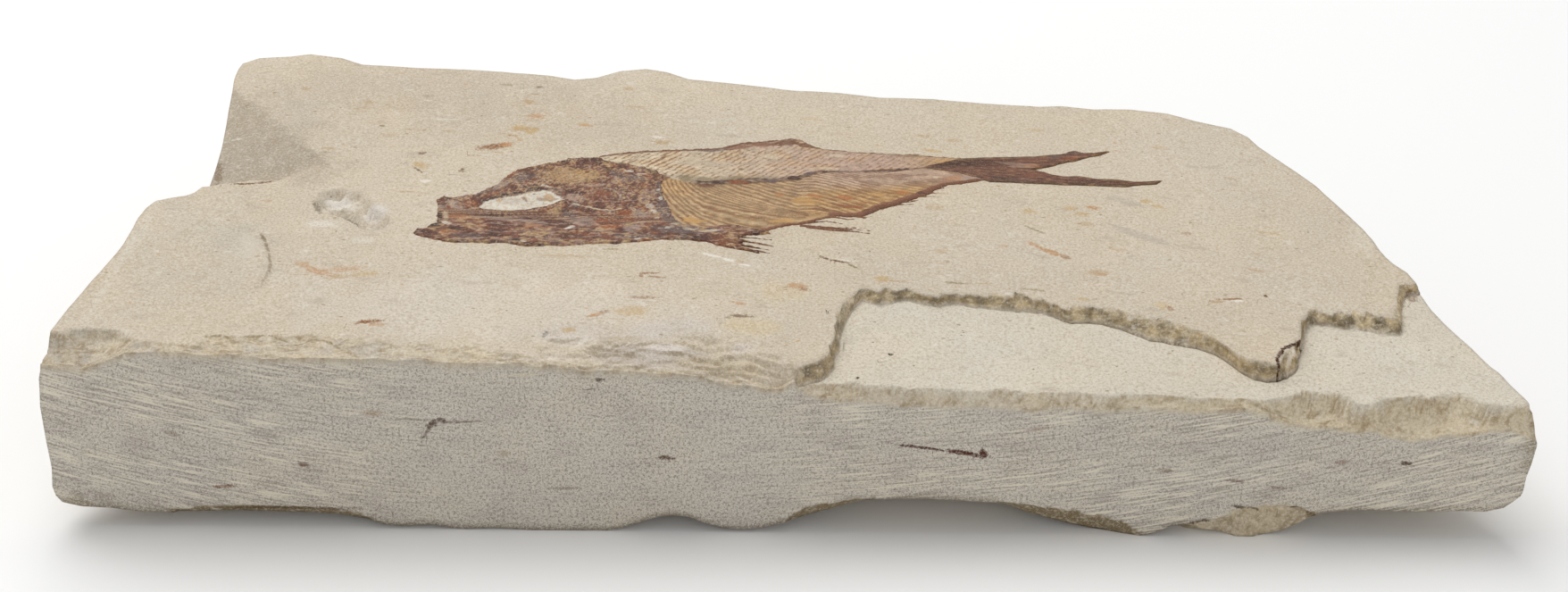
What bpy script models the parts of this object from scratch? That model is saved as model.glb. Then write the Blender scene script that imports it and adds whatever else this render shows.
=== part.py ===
"""Fossil fish slab: a block of thinly bedded limestone with one sawn edge, and a small fossil fish
lying on its upper bedding face.

Frame: metres, +Z up, resting on Z = 0. The origin is under the middle of the block's box, +X runs
along the sawn edge to the tail side of the fish, and the sawn face looks along -Y.

The lists below are in millimetres: x from the middle of the sawn edge, y back from the sawn face,
and drop, which is a depth below the upper bedding face, measured straight down.
"""

import math

import bmesh
import bpy
import numpy as np
from mathutils import Matrix, Vector, noise

MM = 0.001

# ---------------------------------------------------------------- driving dimensions, millimetres

LENGTH = 199.0                 # along the sawn edge
DEPTH = 91.4                   # from the sawn face to the furthest point of the back
BED_HEIGHT = 25.85             # the upper bedding face above the ground, at x = 0
BED_SLOPE = -0.0305            # its rise for each millimetre to the right
# the layer that has broken away along the front right is a wedge: its thickness at the sawn face,
# and how much it thins for each millimetre further back
LAYER = 2.5
LAYER_THINNING = 0.055
GAP = 0.3                      # between the fish and the stone that it lies in
FISH_BASE = 0.3                # the fish's under face below the bedding face
BED_STAGGER = 0.04             # keeps the floors of the fish's and the fins' hollows apart
FISH_EDGE = 0.15               # its thin edge above that face
CLEAR = 8.0                    # how far a cutter runs past the stone

# the block's edges at the level of the upper face, each from front to back or from left to right
LEFT_EDGE = [(-98.5, 0.0), (-97.2, 4.7), (-96.0, 11.8), (-94.6, 19.0), (-93.3, 25.0), (-92.8, 33.0),
             (-92.3, 37.5), (-91.4, 40.3), (-89.6, 41.4), (-87.1, 42.4), (-85.7, 44.8), (-85.2, 48.0),
             (-85.4, 58.8), (-86.0, 66.0), (-87.0, 75.8), (-87.5, 82.0), (-87.2, 87.3)]
BACK_EDGE = [(-87.2, 87.3), (-85.0, 89.3), (-80.0, 90.4), (-77.2, DEPTH), (-72.0, 90.5),
             (-68.4, 88.4), (-60.8, 87.8), (-49.7, 87.8), (-38.6, 86.9), (-34.4, 85.9),
             (-31.0, 86.9), (-27.4, 89.7), (-23.3, 90.8), (-19.8, 89.8), (-16.3, 87.6), (-8.0, 86.4),
             (0.3, 85.0), (7.3, 84.7), (14.0, 83.4), (22.6, 83.7), (31.0, 82.9), (39.0, 82.5),
             (42.7, 83.0), (47.6, 82.2), (53.8, 82.5), (59.4, 81.4), (63.5, 79.1), (68.8, 77.1)]
RIGHT_EDGE = [(98.7, 0.0), (98.3, 2.6), (96.9, 5.8), (95.9, 9.1), (93.8, 14.1), (92.4, 17.5),
              (90.9, 21.0), (89.6, 24.5), (88.8, 29.0), (86.8, 34.0), (85.2, 39.0), (84.6, 43.4),
              (83.1, 47.6), (81.5, 52.0), (80.0, 56.4), (77.9, 60.9), (75.4, 65.4), (72.8, 70.0),
              (71.2, 74.0), (68.8, 77.1)]

# the lower edge of the sawn face, (x, height above the ground)
FOOT_EDGE = [(-99.5, 5.0), (-98.0, 3.5), (-85.0, 2.6), (-68.0, 2.7), (-60.0, 2.3), (-53.5, 0.7),
             (-49.0, 1.0), (-43.0, 0.3), (-38.0, 0.0), (-27.0, 0.0), (-18.0, 2.4), (-14.0, 2.7),
             (-11.0, 1.5), (-7.0, 0.6), (-1.0, 1.5), (6.0, 4.0), (10.0, 5.5), (18.0, 6.0),
             (30.0, 5.3), (36.0, 3.5), (43.0, 1.5), (48.3, 0.2), (53.5, 1.6), (58.0, 0.6),
             (62.2, 0.0), (66.0, 1.0), (72.0, 4.3), (84.0, 4.6), (95.5, 5.2), (98.0, 6.5)]

# the lumps that the stone stands on: x, y, half length, half width
SUPPORTS = [(-34.0, 8.0, 14.0, 9.0), (57.0, 8.0, 13.0, 8.0), (-56.0, 68.0, 16.0, 11.0),
            (38.0, 64.0, 15.0, 10.0)]
SUPPORT_DEPTH = 7.0

# how far each wall swells past the upper edge at mid height
LEFT_SWELL, BACK_SWELL, RIGHT_SWELL = 1.0, 0.8, 0.8

WALL_LEDGES = 1.8              # how far the laminae stand in and out of the broken walls
WALL_TUCK = 4.0                # how far those walls draw in at the bottom

# the step where the layer has broken away: its lip on the upper face, and how far the foot of its
# broken wall stands out from the lip, by x
STEP_LIP = [(0.4, 1.1), (1.8, 1.7), (3.3, 2.5), (4.5, 3.7), (5.4, 6.0), (5.9, 9.0), (6.2, 12.0),
            (6.6, 15.8), (8.1, 19.2), (9.7, 21.6), (11.2, 21.2), (12.3, 20.0), (14.0, 21.6),
            (16.2, 22.1), (18.9, 20.9), (21.3, 20.9), (23.4, 21.8), (26.3, 21.4), (28.2, 22.2),
            (31.7, 21.7), (34.8, 20.8), (36.2, 17.8), (37.6, 16.1), (39.4, 16.3), (41.0, 19.6),
            (44.2, 19.3), (46.7, 18.4), (49.8, 16.9), (52.3, 15.8), (54.3, 14.6), (56.7, 13.0),
            (58.6, 11.1), (60.2, 8.8), (61.8, 6.4), (63.4, 5.7), (65.2, 5.6), (67.2, 7.0),
            (68.3, 9.2), (68.9, 11.4), (69.8, 14.2), (70.7, 17.1), (71.9, 19.9), (74.4, 20.0),
            (79.3, 20.5), (83.9, 19.8), (84.8, 22.8), (85.6, 26.2), (88.0, 29.1)]
WALL_LEAN = [(0.0, 0.5), (6.0, 0.6), (9.0, 0.4), (35.0, 0.4), (40.0, 0.6), (45.0, 1.5), (55.0, 1.5),
             (59.0, 0.9), (63.0, 0.4), (71.0, 0.4), (75.0, 0.9), (83.0, 1.2), (85.0, 0.5)]
LIP_OVERRUN = 0.8              # how far the cutter's outline passes each end of the lip

# thin laminae left standing one behind the other where the step runs out to the front, each with
# its drop and the back edge of what has flaked away above it
LAMINAE = [
    (0.75, [(-33.0, -CLEAR), (-32.6, 2.0), (-32.2, 4.6), (-31.2, 5.7), (-27.9, 5.8), (-25.2, 5.0),
            (-21.8, 4.8), (-20.2, 6.6), (-17.0, 7.0), (-14.5, 8.2), (-11.5, 7.7), (-9.0, 8.8),
            (-6.0, 9.7), (-2.5, 8.8), (0.5, 7.6), (8.0, 7.2), (8.0, -CLEAR)]),
    (1.5, [(-23.0, -CLEAR), (-22.4, 1.0), (-20.6, 3.6), (-18.4, 4.6), (-15.5, 4.4), (-12.0, 5.8),
           (-9.0, 7.0), (-6.0, 7.6), (-3.4, 6.8), (0.0, 5.2), (8.0, 4.6), (8.0, -CLEAR)]),
    (2.25, [(-14.0, -CLEAR), (-13.0, 0.6), (-11.0, 2.8), (-8.0, 5.0), (-5.6, 5.4), (-3.2, 4.0),
            (1.0, 2.8), (8.0, 2.2), (8.0, -CLEAR)]),
]

# bites out of the upper front arris: x, half length, depth back, depth down
ARRIS_BITES = [(-96.0, 9.0, 4.6, 4.4), (-90.0, 4.5, 4.2, 3.4), (-70.0, 8.5, 4.8, 1.9),
               (-57.0, 8.0, 4.2, 1.4), (-44.0, 8.0, 3.2, 1.2), (6.5, 3.0, 1.4, 1.0),
               (11.5, 2.6, 2.2, 1.7), (17.5, 3.4, 1.8, 1.3), (27.0, 4.0, 2.4, 1.6),
               (38.0, 4.5, 2.0, 1.2), (49.0, 4.0, 2.6, 1.6), (60.0, 4.0, 2.0, 1.5),
               (71.0, 4.5, 3.6, 3.0), (78.5, 5.0, 4.6, 3.8), (87.0, 5.5, 5.0, 4.4),
               (96.0, 5.5, 4.2, 3.6)]
ARRIS_WEAR = 0.7               # the wear between the bites

# facets broken off under the sawn face: x from, x to, height of the upper edge, depth back
FOOT_FACETS = [(-78.0, -60.0, 4.2, 1.6), (1.0, 11.0, 6.2, 1.4), (28.0, 50.0, 5.8, 2.0),
               (55.0, 71.0, 5.4, 1.6)]

# the facet that falls away to the back left corner, and the line along which it starts
CORNER_FACET = [(-87.3, 79.7), (-79.1, 69.1), (-69.0, 55.8), (-68.4, 53.4), (-72.7, 50.5),
                (-77.0, 47.8), (-84.6, 45.2), (-97.0, 44.6), (-97.0, 86.0)]
CORNER_FALL = 0.085

# the rough pit in front of the head: round its edge, x, y and how deep the floor is there
PIT_EDGE = [(-68.2, 41.1, 1.3), (-68.5, 45.0, 0.6), (-65.5, 46.3, 0.4), (-62.4, 45.5, 0.3),
            (-60.8, 42.4, 0.35), (-59.6, 40.1, 0.3), (-57.1, 37.4, 0.2), (-57.7, 34.5, 0.5),
            (-59.8, 33.8, 1.0), (-62.2, 36.4, 1.3), (-65.8, 38.6, 1.6)]
PIT_MIDDLE_DROP = 0.7

# the fish: its upper outline from jaw to fork, its lower one, and its backbone
FISH_UPPER = [(-53.5, 33.7), (-52.6, 34.8), (-51.0, 35.9), (-50.5, 40.5), (-50.3, 44.3),
              (-47.7, 44.8), (-45.7, 46.0), (-44.3, 47.8), (-42.5, 51.3), (-39.0, 54.7),
              (-35.0, 56.5), (-33.7, 57.8), (-30.0, 58.6), (-26.0, 60.5), (-20.0, 62.0),
              (-10.3, 64.3), (-8.0, 65.8), (-2.0, 67.2), (-0.1, 68.2), (1.3, 67.7), (4.2, 65.3),
              (7.0, 64.5), (14.7, 63.9), (26.1, 63.4), (33.7, 64.5), (38.0, 65.1)]
FISH_LOWER = [(-53.5, 33.7), (-52.7, 32.6), (-50.7, 31.8), (-44.7, 31.3), (-37.3, 30.9),
              (-28.0, 32.2), (-21.3, 33.3), (-17.0, 34.3), (-12.0, 36.0), (-8.0, 36.4),
              (-4.9, 37.0), (-2.0, 38.7), (0.6, 40.0), (2.5, 40.2), (7.0, 41.6), (8.5, 43.0),
              (11.3, 43.9), (12.8, 45.3), (14.7, 46.3), (19.0, 47.7), (20.4, 50.3), (22.3, 51.5),
              (23.7, 54.4), (28.5, 55.8), (34.7, 55.9), (38.0, 56.0)]
FISH_SPINE = [(-53.5, 33.7), (-51.1, 34.0), (-50.5, 36.5), (-50.0, 40.0), (-44.0, 43.2),
              (-36.0, 44.6), (-28.0, 49.5), (-20.0, 53.0), (-10.3, 53.3), (1.3, 54.8), (3.7, 56.3),
              (11.8, 58.2), (21.3, 59.8), (32.0, 60.0), (38.0, 59.9)]
UPPER_LOBE = [(38.0, 65.1), (40.4, 65.8), (42.8, 67.0), (45.6, 66.9), (49.2, 67.5)]
UPPER_FORK = [(38.0, 59.9), (39.0, 60.6), (40.4, 62.2), (42.8, 63.4), (45.1, 64.9), (49.2, 67.5)]
LOWER_FORK = [(38.0, 59.9), (40.4, 59.4), (43.2, 58.7), (47.5, 58.0), (51.3, 57.5), (56.1, 58.4)]
LOWER_LOBE = [(38.0, 56.0), (44.7, 56.5), (49.0, 55.9), (51.8, 56.0), (55.1, 57.0), (56.1, 58.4)]

# the paired fins: x of the front and the back of the root on the belly, and the two tips
PECTORAL_FIN = (-17.5, -11.5, [(-3.4, 31.5), (-3.2, 33.4), (-2.7, 35.3)])
PELVIC_FIN = (1.5, 7.0, [(11.0, 38.3), (11.4, 39.3), (11.9, 40.3)])
FIN_ROWS = 5

JAW_COLUMNS = (-53.5, -52.6, -51.1, -50.5)        # x of the columns that shape the open mouth
SNOUT, HEAD_END, RIBS_END, FORK = -50.2, -20.0, 24.0, 38.0
RIB_PITCH = 2.3
RIB_LEAN = 10.5                # how far the longest ribs run back on their way down
ORBIT = (-39.2, 44.3)          # the middle of the eye opening, which shows bare stone
ORBIT_HALF = (5.6, 2.2)
ORBIT_TURN = math.radians(14.0)


# ---------------------------------------------------------------- small tools

def bedding(x, drop=0.0):
    """Height in millimetres of the upper bedding face at x, or of a plane that far below it."""
    return BED_HEIGHT + BED_SLOPE * np.asarray(x, float) - drop


def along(points, share):
    """Points of a polyline at the given shares of its length."""
    points = np.asarray(points, float)
    steps = np.linalg.norm(np.diff(points, axis=0), axis=1)
    reach = np.concatenate(([0.0], np.cumsum(steps))) / steps.sum()
    return np.stack([np.interp(share, reach, points[:, axis]) for axis in (0, 1)], axis=-1)


def height_at(points, x):
    """The second coordinate of a polyline that is read as a function of its first."""
    points = np.asarray(points, float)
    return np.interp(x, points[:, 0], points[:, 1])


def smooth(t):
    """An S-shaped ramp from 0 to 1."""
    t = np.clip(t, 0.0, 1.0)
    return t * t * (3.0 - 2.0 * t)


def rough(points, scale, seed):
    """Gentle noise from -1 to 1 at millimetre points; scale is the size of its lumps."""
    shift = Vector((seed * 7.3, seed * 3.1, seed * 5.7))
    return np.array([noise.noise(Vector(point) / scale + shift) for point in points])


def placed(points):
    """Millimetre points, measured from the sawn face, as metres about the part's origin."""
    return (np.asarray(points, float) - (0.0, DEPTH / 2.0, 0.0)) * MM


def on_bed(outline, drop):
    """A flat outline laid on a plane parallel to the bedding; drop may be one value per point."""
    outline = np.asarray(outline, float)
    return np.column_stack((outline, bedding(outline[:, 0], drop)))


def clear_scene():
    for thing in list(bpy.data.objects):
        bpy.data.objects.remove(thing, do_unlink=True)


def new_collection(name):
    collection = bpy.data.collections.new(name)
    bpy.context.scene.collection.children.link(collection)
    return collection


def new_object(name, bm, collection):
    """An object from a bmesh, its faces turned outwards."""
    bmesh.ops.recalc_face_normals(bm, faces=bm.faces)
    mesh = bpy.data.meshes.new(name)
    bm.to_mesh(mesh)
    bm.free()
    thing = bpy.data.objects.new(name, mesh)
    collection.objects.link(thing)
    return thing


def loft(rings):
    """A closed bmesh through rings of equal point counts, with a cap on the first and the last."""
    bm = bmesh.new()
    rows = [[bm.verts.new(point) for point in placed(ring)] for ring in rings]
    for low, high in zip(rows, rows[1:]):
        for here in range(len(low)):
            there = (here + 1) % len(low)
            bm.faces.new((low[here], low[there], high[there], high[here]))
    bm.faces.new(rows[0])
    bm.faces.new(rows[-1])
    return bm


def new_cutter(name, bm, collection):
    cutter = new_object(name, bm, collection)
    cutter.hide_render = True
    cutter.display_type = "WIRE"
    return cutter


def cut(stone, cutter):
    modifier = stone.modifiers.new(cutter.name, "BOOLEAN")
    modifier.operation = "DIFFERENCE"
    modifier.solver = "EXACT"
    modifier.object = cutter


def new_material(name, colour, roughness):
    material = bpy.data.materials.new(name)
    material.use_nodes = True
    surface = material.node_tree.nodes["Principled BSDF"]
    surface.inputs["Base Color"].default_value = (*colour, 1.0)
    surface.inputs["Roughness"].default_value = roughness
    surface.inputs["Metallic"].default_value = 0.0
    return material


# ---------------------------------------------------------------- the stone

BLOCK_CUTS = (46, 22, 7)       # faces along, across and up the block
LAMINA_PITCH = 1.5             # thickness of the laminae that show as ledges underneath


def unit_block(counts):
    """A unit cube from 0 to 1 whose faces are a grid."""
    bm = bmesh.new()
    bmesh.ops.create_cube(bm, size=1.0, matrix=Matrix.Translation((0.5, 0.5, 0.5)))
    for axis, count in enumerate(counts):
        lengthwise = [edge for edge in bm.edges
                      if abs(edge.verts[0].co[axis] - edge.verts[1].co[axis]) > 1e-6]
        bmesh.ops.subdivide_edges(bm, edges=lengthwise, cuts=count - 1, use_grid_fill=True)
    return bm


def inside_outline(u, v):
    """Plan position of a point of the block: a patch drawn between its four edges."""
    front = np.column_stack((np.interp(u, (0, 1), (LEFT_EDGE[0][0], RIGHT_EDGE[0][0])),
                             np.zeros_like(u)))
    back = along(BACK_EDGE, u)
    left = along(LEFT_EDGE, v)
    right = along(RIGHT_EDGE, v)
    u, v = u[:, None], v[:, None]
    corners = ((1 - u) * (1 - v) * LEFT_EDGE[0] + u * (1 - v) * RIGHT_EDGE[0]
               + (1 - u) * v * BACK_EDGE[0] + u * v * BACK_EDGE[-1])
    return (1 - v) * front + v * back + (1 - u) * left + u * right - corners


def outward(edge, share, side):
    """Unit normals of an edge, looking away from the block."""
    reach = 0.03
    run = along(edge, np.minimum(share + reach, 1)) - along(edge, np.maximum(share - reach, 0))
    normal = side * np.column_stack((-run[:, 1], run[:, 0]))
    return normal / np.linalg.norm(normal, axis=1)[:, None]


def wall_shift(u, v, w, plan):
    """How far the broken walls stand out of the upper edge or draw in under it."""
    left, right, back = u < 1e-6, u > 1 - 1e-6, v > 1 - 1e-6
    away, swell = np.zeros_like(plan), np.zeros_like(u)
    for wall, edge, share, side, amount in ((left, LEFT_EDGE, v, 1.0, LEFT_SWELL),
                                            (right, RIGHT_EDGE, v, -1.0, RIGHT_SWELL),
                                            (back, BACK_EDGE, u, 1.0, BACK_SWELL)):
        away[wall] += outward(edge, share[wall], side)
        swell[wall] = amount
    away[v < 1e-6, 1] = 0.0
    behind = smooth(v * 6.0)
    spots = np.column_stack((plan, 4.0 * w * BED_HEIGHT))
    ledges = WALL_LEDGES * rough(spots, 11.0, 1) * behind
    tuck = WALL_TUCK * (1 - w) ** 3 * behind
    return away * ((swell + ledges) * smooth((1 - w) * 5.0) - tuck)[:, None]


def underside(x, y):
    """Height of the broken under face: the sawn face's foot in front, ledges behind, and the lumps
    that reach the ground."""
    spots = np.column_stack((x, y, np.zeros_like(x)))
    broken = 4.4 + 2.2 * rough(spots, 26.0, 2) + 0.9 * rough(spots, 9.0, 3)
    level = broken / LAMINA_PITCH
    ledges = LAMINA_PITCH * (np.floor(level) + smooth((level % 1.0 - 0.35) / 0.3))
    inward = smooth(y / 11.0)
    height = (1 - inward) * height_at(FOOT_EDGE, x) + inward * ledges
    for middle_x, middle_y, half_x, half_y in SUPPORTS:
        spread = ((x - middle_x) / half_x) ** 2 + ((y - middle_y) / half_y) ** 2
        height = height - SUPPORT_DEPTH * smooth(1.0 - spread) * smooth(y / 3.0)
    return np.maximum(height, 0.0)


def stone_block():
    """The whole block before anything is broken out of it."""
    bm = unit_block(BLOCK_CUTS)
    u, v, w = np.array([vert.co for vert in bm.verts]).T
    plan = inside_outline(u, v)
    plan = plan + wall_shift(u, v, w, plan)
    x = np.clip(plan[:, 0], -LENGTH / 2, LENGTH / 2)
    y = np.clip(plan[:, 1], 0.0, DEPTH)
    foot = underside(x, y)
    z = foot + w * (bedding(x) - foot)
    for vert, place in zip(bm.verts, placed(np.column_stack((x, y, z)))):
        vert.co = place
    return bm


def step_cutter():
    """What is missing above the terrace: a loft from the foot of the step up to its lip."""
    lip = np.array(STEP_LIP)
    run = np.gradient(lip, axis=0)
    outwards = np.column_stack((run[:, 1], -run[:, 0])) / np.linalg.norm(run, axis=1)[:, None]
    lean = np.interp(lip[:, 0], *np.array(WALL_LEAN).T)
    foot = lip + outwards * lean[:, None]
    rings = []
    for line, layer, lift in ((foot, LAYER, 0.0), (lip, 0.0, 0.0), (lip, 0.0, CLEAR)):
        corners = [(LENGTH / 2 + CLEAR, lip[-1, 1] + LIP_OVERRUN),
                   (LENGTH / 2 + CLEAR, -CLEAR),
                   (lip[0, 0] - LIP_OVERRUN, -CLEAR)]
        ring = np.vstack((line, corners))
        thinning = LAYER_THINNING * ring[:, 1] if layer else 0.0
        rings.append(on_bed(ring, layer - thinning - lift))
    return loft(rings)


def lamina_cutter(drop, outline):
    return loft([on_bed(outline, drop), on_bed(outline, -CLEAR)])


def corner_facet_cutter():
    """The tilted facet: it starts along a line and deepens evenly away from it."""
    outline = np.array(CORNER_FACET)
    run = outline[2] - outline[0]
    across = np.array((run[1], -run[0])) / np.linalg.norm(run)
    fall = np.maximum((outline - outline[0]) @ across, 0.0) * CORNER_FALL
    return loft([on_bed(outline, fall), on_bed(outline, -CLEAR)])


def pit_cutter():
    """The pit: its floor is tilted, and humped in the middle."""
    edge = np.array(PIT_EDGE)
    bm = loft([on_bed(edge[:, :2], edge[:, 2]), on_bed(edge[:, :2], -CLEAR)])
    floor = min(bm.faces, key=lambda face: face.calc_center_median().z)
    hump = bmesh.ops.poke(bm, faces=[floor])["verts"][0]
    hump.co.z = float(bedding(hump.co.x / MM, PIT_MIDDLE_DROP)) * MM
    return bm


def arris_cutter():
    """A three-sided bar along the upper front arris, thick at each bite."""
    stations = np.arange(-LENGTH / 2 - 2.0, LENGTH / 2 + 2.1, 1.9)
    rings = []
    for number, x in enumerate(stations):
        back = down = ARRIS_WEAR * (1.0 + 0.5 * math.sin(number * 2.4))
        for middle, half, bite_back, bite_down in ARRIS_BITES:
            share = max(0.0, 1.0 - ((x - middle) / half) ** 2) ** 0.6
            back = max(back, bite_back * share)
            down = max(down, bite_down * share)
        fall = LAYER * smooth((x + 30.0) / 31.0)
        top = float(bedding(x, fall))
        slope = down / back
        rings.append([(x, -2.0, top - down - 2.0 * slope), (x, back + 3.0, top + 3.0 * slope),
                      (x, -2.0, top + 9.0)])
    return loft(rings)


def foot_facet_cutter(start, end, edge, back):
    """A three-sided bar along the lower front arris, running out at both ends."""
    rings = []
    for x, share in zip(np.linspace(start, end, 5), (0.12, 0.85, 1.0, 0.9, 0.12)):
        top = edge * (0.7 + 0.3 * share)
        deep = back * share
        lean = deep / top
        rings.append([(x, -2.0 * lean, top + 2.0), (x, (top + 2.0) * lean, -2.0),
                      (x, -6.0, -2.0)])
    return loft(rings)


# ---------------------------------------------------------------- the fish

UPPER_ROWS, LOWER_ROWS = 6, 9


def fish_columns():
    """x of each column of the fish at the backbone: two to a rib, and wider ones elsewhere."""
    head = np.concatenate((JAW_COLUMNS, np.linspace(SNOUT, HEAD_END, 16)[:-1]))
    ribs = np.arange(HEAD_END, RIBS_END, RIB_PITCH / 2)
    tail = np.linspace(ribs[-1] + RIB_PITCH / 2, FORK, 10)
    return np.concatenate((head, ribs, tail))


def rib_lean(x):
    """How far a column runs back between the backbone and the edge of the body."""
    return RIB_LEAN * smooth((x - HEAD_END + 7.0) / 16.0) * (1.0 - smooth((x - 2.0) / 35.0))


def sheet(near, far, rows):
    """A grid of points from one line of points to another, near line first."""
    share = np.linspace(0, 1, rows + 1)[:, None, None]
    return near[None] * (1 - share) + far[None] * share


def fin_sheet(belly, fin):
    """Plan grid of a paired fin, from its root on the belly out to its tips."""
    start, end, tips = fin
    root = belly[(belly[:, 0] > start) & (belly[:, 0] < end)]
    return sheet(root, along(tips, np.linspace(0, 1, len(root))), FIN_ROWS)


def fish_sheets():
    """Plan grids: the body above and below the backbone, the two tail lobes and the paired fins."""
    x = fish_columns()
    lean_up = np.minimum(0.45 * rib_lean(x), FORK - x)
    lean_down = np.minimum(rib_lean(x), FORK - x)
    spine = np.column_stack((x, height_at(FISH_SPINE, x)))
    back = np.column_stack((x + lean_up, height_at(FISH_UPPER, x + lean_up)))
    belly = np.column_stack((x + lean_down, height_at(FISH_LOWER, x + lean_down)))
    body = [sheet(spine, back, UPPER_ROWS), sheet(spine, belly, LOWER_ROWS)]
    fins = [fin_sheet(belly, fin) for fin in (PECTORAL_FIN, PELVIC_FIN)]
    lobes = []
    for inner, outer, rows, tip in ((UPPER_FORK, UPPER_LOBE, UPPER_ROWS, 49.2),
                                    (LOWER_FORK, LOWER_LOBE, LOWER_ROWS, 56.1)):
        reach = np.linspace(FORK, tip, 9)
        lobes.append(sheet(np.column_stack((reach, height_at(inner, reach))),
                           np.column_stack((reach, height_at(outer, reach))), rows))
    return body, lobes, fins


def body_relief(grid, below):
    """Height of the body above the bedding face: backbone, ribs, head bones and thin edges."""
    rows, columns = grid.shape[:2]
    across = np.linspace(0, 1, rows)[:, None]
    x = grid[0, :, 0][None]
    ribs = (np.arange(columns) % 2)[None] * smooth((x - HEAD_END + 1.0) / 2.0)
    ribs = ribs * smooth((RIBS_END - x) / 4.0) * smooth(across * 6.0) * smooth((1 - across) * 4.0)
    head = smooth((HEAD_END + 2.0 - x) / 3.0)
    around = np.hypot((grid[:, :, 0] - ORBIT[0]) / ORBIT_HALF[0],
                      (grid[:, :, 1] - ORBIT[1]) / ORBIT_HALF[1] / 1.4)
    brow = head * (0.4 + 0.2 * np.cos(across * math.pi * 2.0)) + 0.3 * np.exp(-(around - 1.3) ** 2 * 6.0)
    backbone = 0.35 * (1 - head) * (1 - smooth(across * 7.0)) * (0.7 + 0.3 * np.cos(x * 2.7))
    flank = 0.22 * smooth((1 - across) * 3.0)
    brow = brow * smooth((1 - across) * 5.0)
    relief = flank + brow + backbone + (0.24 if below else 0.12) * ribs
    return FISH_EDGE + relief * smooth((x - FISH_SPINE[0][0]) / 2.0)


def lobe_relief(grid):
    """Height of a tail lobe: fin rays as ridges that run out to its edge."""
    rows, columns = grid.shape[:2]
    rays = (np.arange(rows) % 2)[:, None] * 0.18
    return FISH_EDGE + rays * np.linspace(1, 0, columns)[None]


def fin_relief(grid):
    """Height of a paired fin: rays as ridges that run out at the root and at the tips."""
    rows, columns = grid.shape[:2]
    out = np.sin(np.linspace(0, math.pi, rows))[:, None]
    return FISH_EDGE + 0.18 * (np.arange(columns) % 2)[None] * out


def fish_patches():
    """The main surface of the fish and its fins, each as grids with their heights."""
    body, lobes, fins = fish_sheets()
    heights = [body_relief(body[0], False), body_relief(body[1], True)]
    heights += [lobe_relief(lobe) for lobe in lobes]
    for body_height, lobe_height in zip(heights[:2], heights[2:]):
        lobe_height[:, 0] = body_height[:, -1]
    main_surface = list(zip(body + lobes, heights))
    return [main_surface] + [[(fin, fin_relief(fin))] for fin in fins]


def relief_surface(patches):
    """The upper surface of some patches, sewn together and open underneath."""
    bm = bmesh.new()
    for grid, height in patches:
        top = np.dstack((grid, bedding(grid[:, :, 0]) + height))
        verts = [[bm.verts.new(point) for point in placed(row)] for row in top]
        for row, above in zip(verts, verts[1:]):
            for corner in range(len(row) - 1):
                bm.faces.new((row[corner], row[corner + 1], above[corner + 1], above[corner]))
    bmesh.ops.remove_doubles(bm, verts=bm.verts, dist=0.02 * MM)
    bmesh.ops.recalc_face_normals(bm, faces=bm.faces)
    return bm


def fish_body():
    """The fish as one closed body: relief above, flat underneath."""
    bm = relief_surface([patch for patches in fish_patches() for patch in patches])
    rim = [edge for edge in bm.edges if edge.is_boundary]
    made = bmesh.ops.extrude_edge_only(bm, edges=rim)["geom"]
    foot = [part for part in made if isinstance(part, bmesh.types.BMVert)]
    for vert in foot:
        vert.co.z = float(bedding(vert.co.x / MM, FISH_BASE)) * MM
    bmesh.ops.edgeloop_fill(bm, edges=[edge for edge in bm.edges if edge.is_boundary])
    return bm


def plan_outline(patches):
    """The outline of some patches in plan, once round and anticlockwise."""
    bm = relief_surface(patches)
    edge = next(edge for edge in bm.edges if edge.is_boundary)
    first, vert = edge.verts
    outline = [first.co.xy / MM]
    while vert is not first:
        outline.append(vert.co.xy / MM)
        edge = next(other for other in vert.link_edges if other.is_boundary and other is not edge)
        vert = edge.other_vert(vert)
    bm.free()
    outline = np.array(outline) + (0.0, DEPTH / 2.0)
    x, y = outline.T
    area = (x * np.roll(y, -1) - y * np.roll(x, -1)).sum()
    return outline if area > 0 else outline[::-1]


def grown(outline, distance):
    """An anticlockwise outline moved outwards, its sharp corners kept short."""
    before, after = np.roll(outline, 1, axis=0), np.roll(outline, -1, axis=0)

    def away(run):
        return np.column_stack((run[:, 1], -run[:, 0])) / np.linalg.norm(run, axis=1)[:, None]

    first, second = away(outline - before), away(after - outline)
    middle = first + second
    middle /= np.linalg.norm(middle, axis=1)[:, None]
    mitre = 1.0 / np.maximum((middle * first).sum(axis=1), 0.5)
    return outline + middle * (distance * mitre)[:, None]


def bed_cutter(patches, extra):
    """The hollow that the fish or a fin lies in, wider and deeper than it by the gap and extra."""
    outline = grown(plan_outline(patches), GAP + extra)
    return loft([on_bed(outline, FISH_BASE + GAP + extra), on_bed(outline, -CLEAR - extra)])


def orbit_cutter():
    """An oval bar through the eye opening."""
    bm = bmesh.new()
    turn = Matrix.Rotation(ORBIT_TURN, 4, "Z")
    size = Matrix.Diagonal((ORBIT_HALF[0] * MM, ORBIT_HALF[1] * MM, MM, 1.0))
    place = placed([(ORBIT[0], ORBIT[1], bedding(ORBIT[0]))])[0]
    bmesh.ops.create_cone(bm, cap_ends=True, segments=18, radius1=1.0, radius2=1.0, depth=8.0,
                          matrix=Matrix.Translation(place) @ turn @ size)
    return bm


# ---------------------------------------------------------------- the assembly

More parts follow.
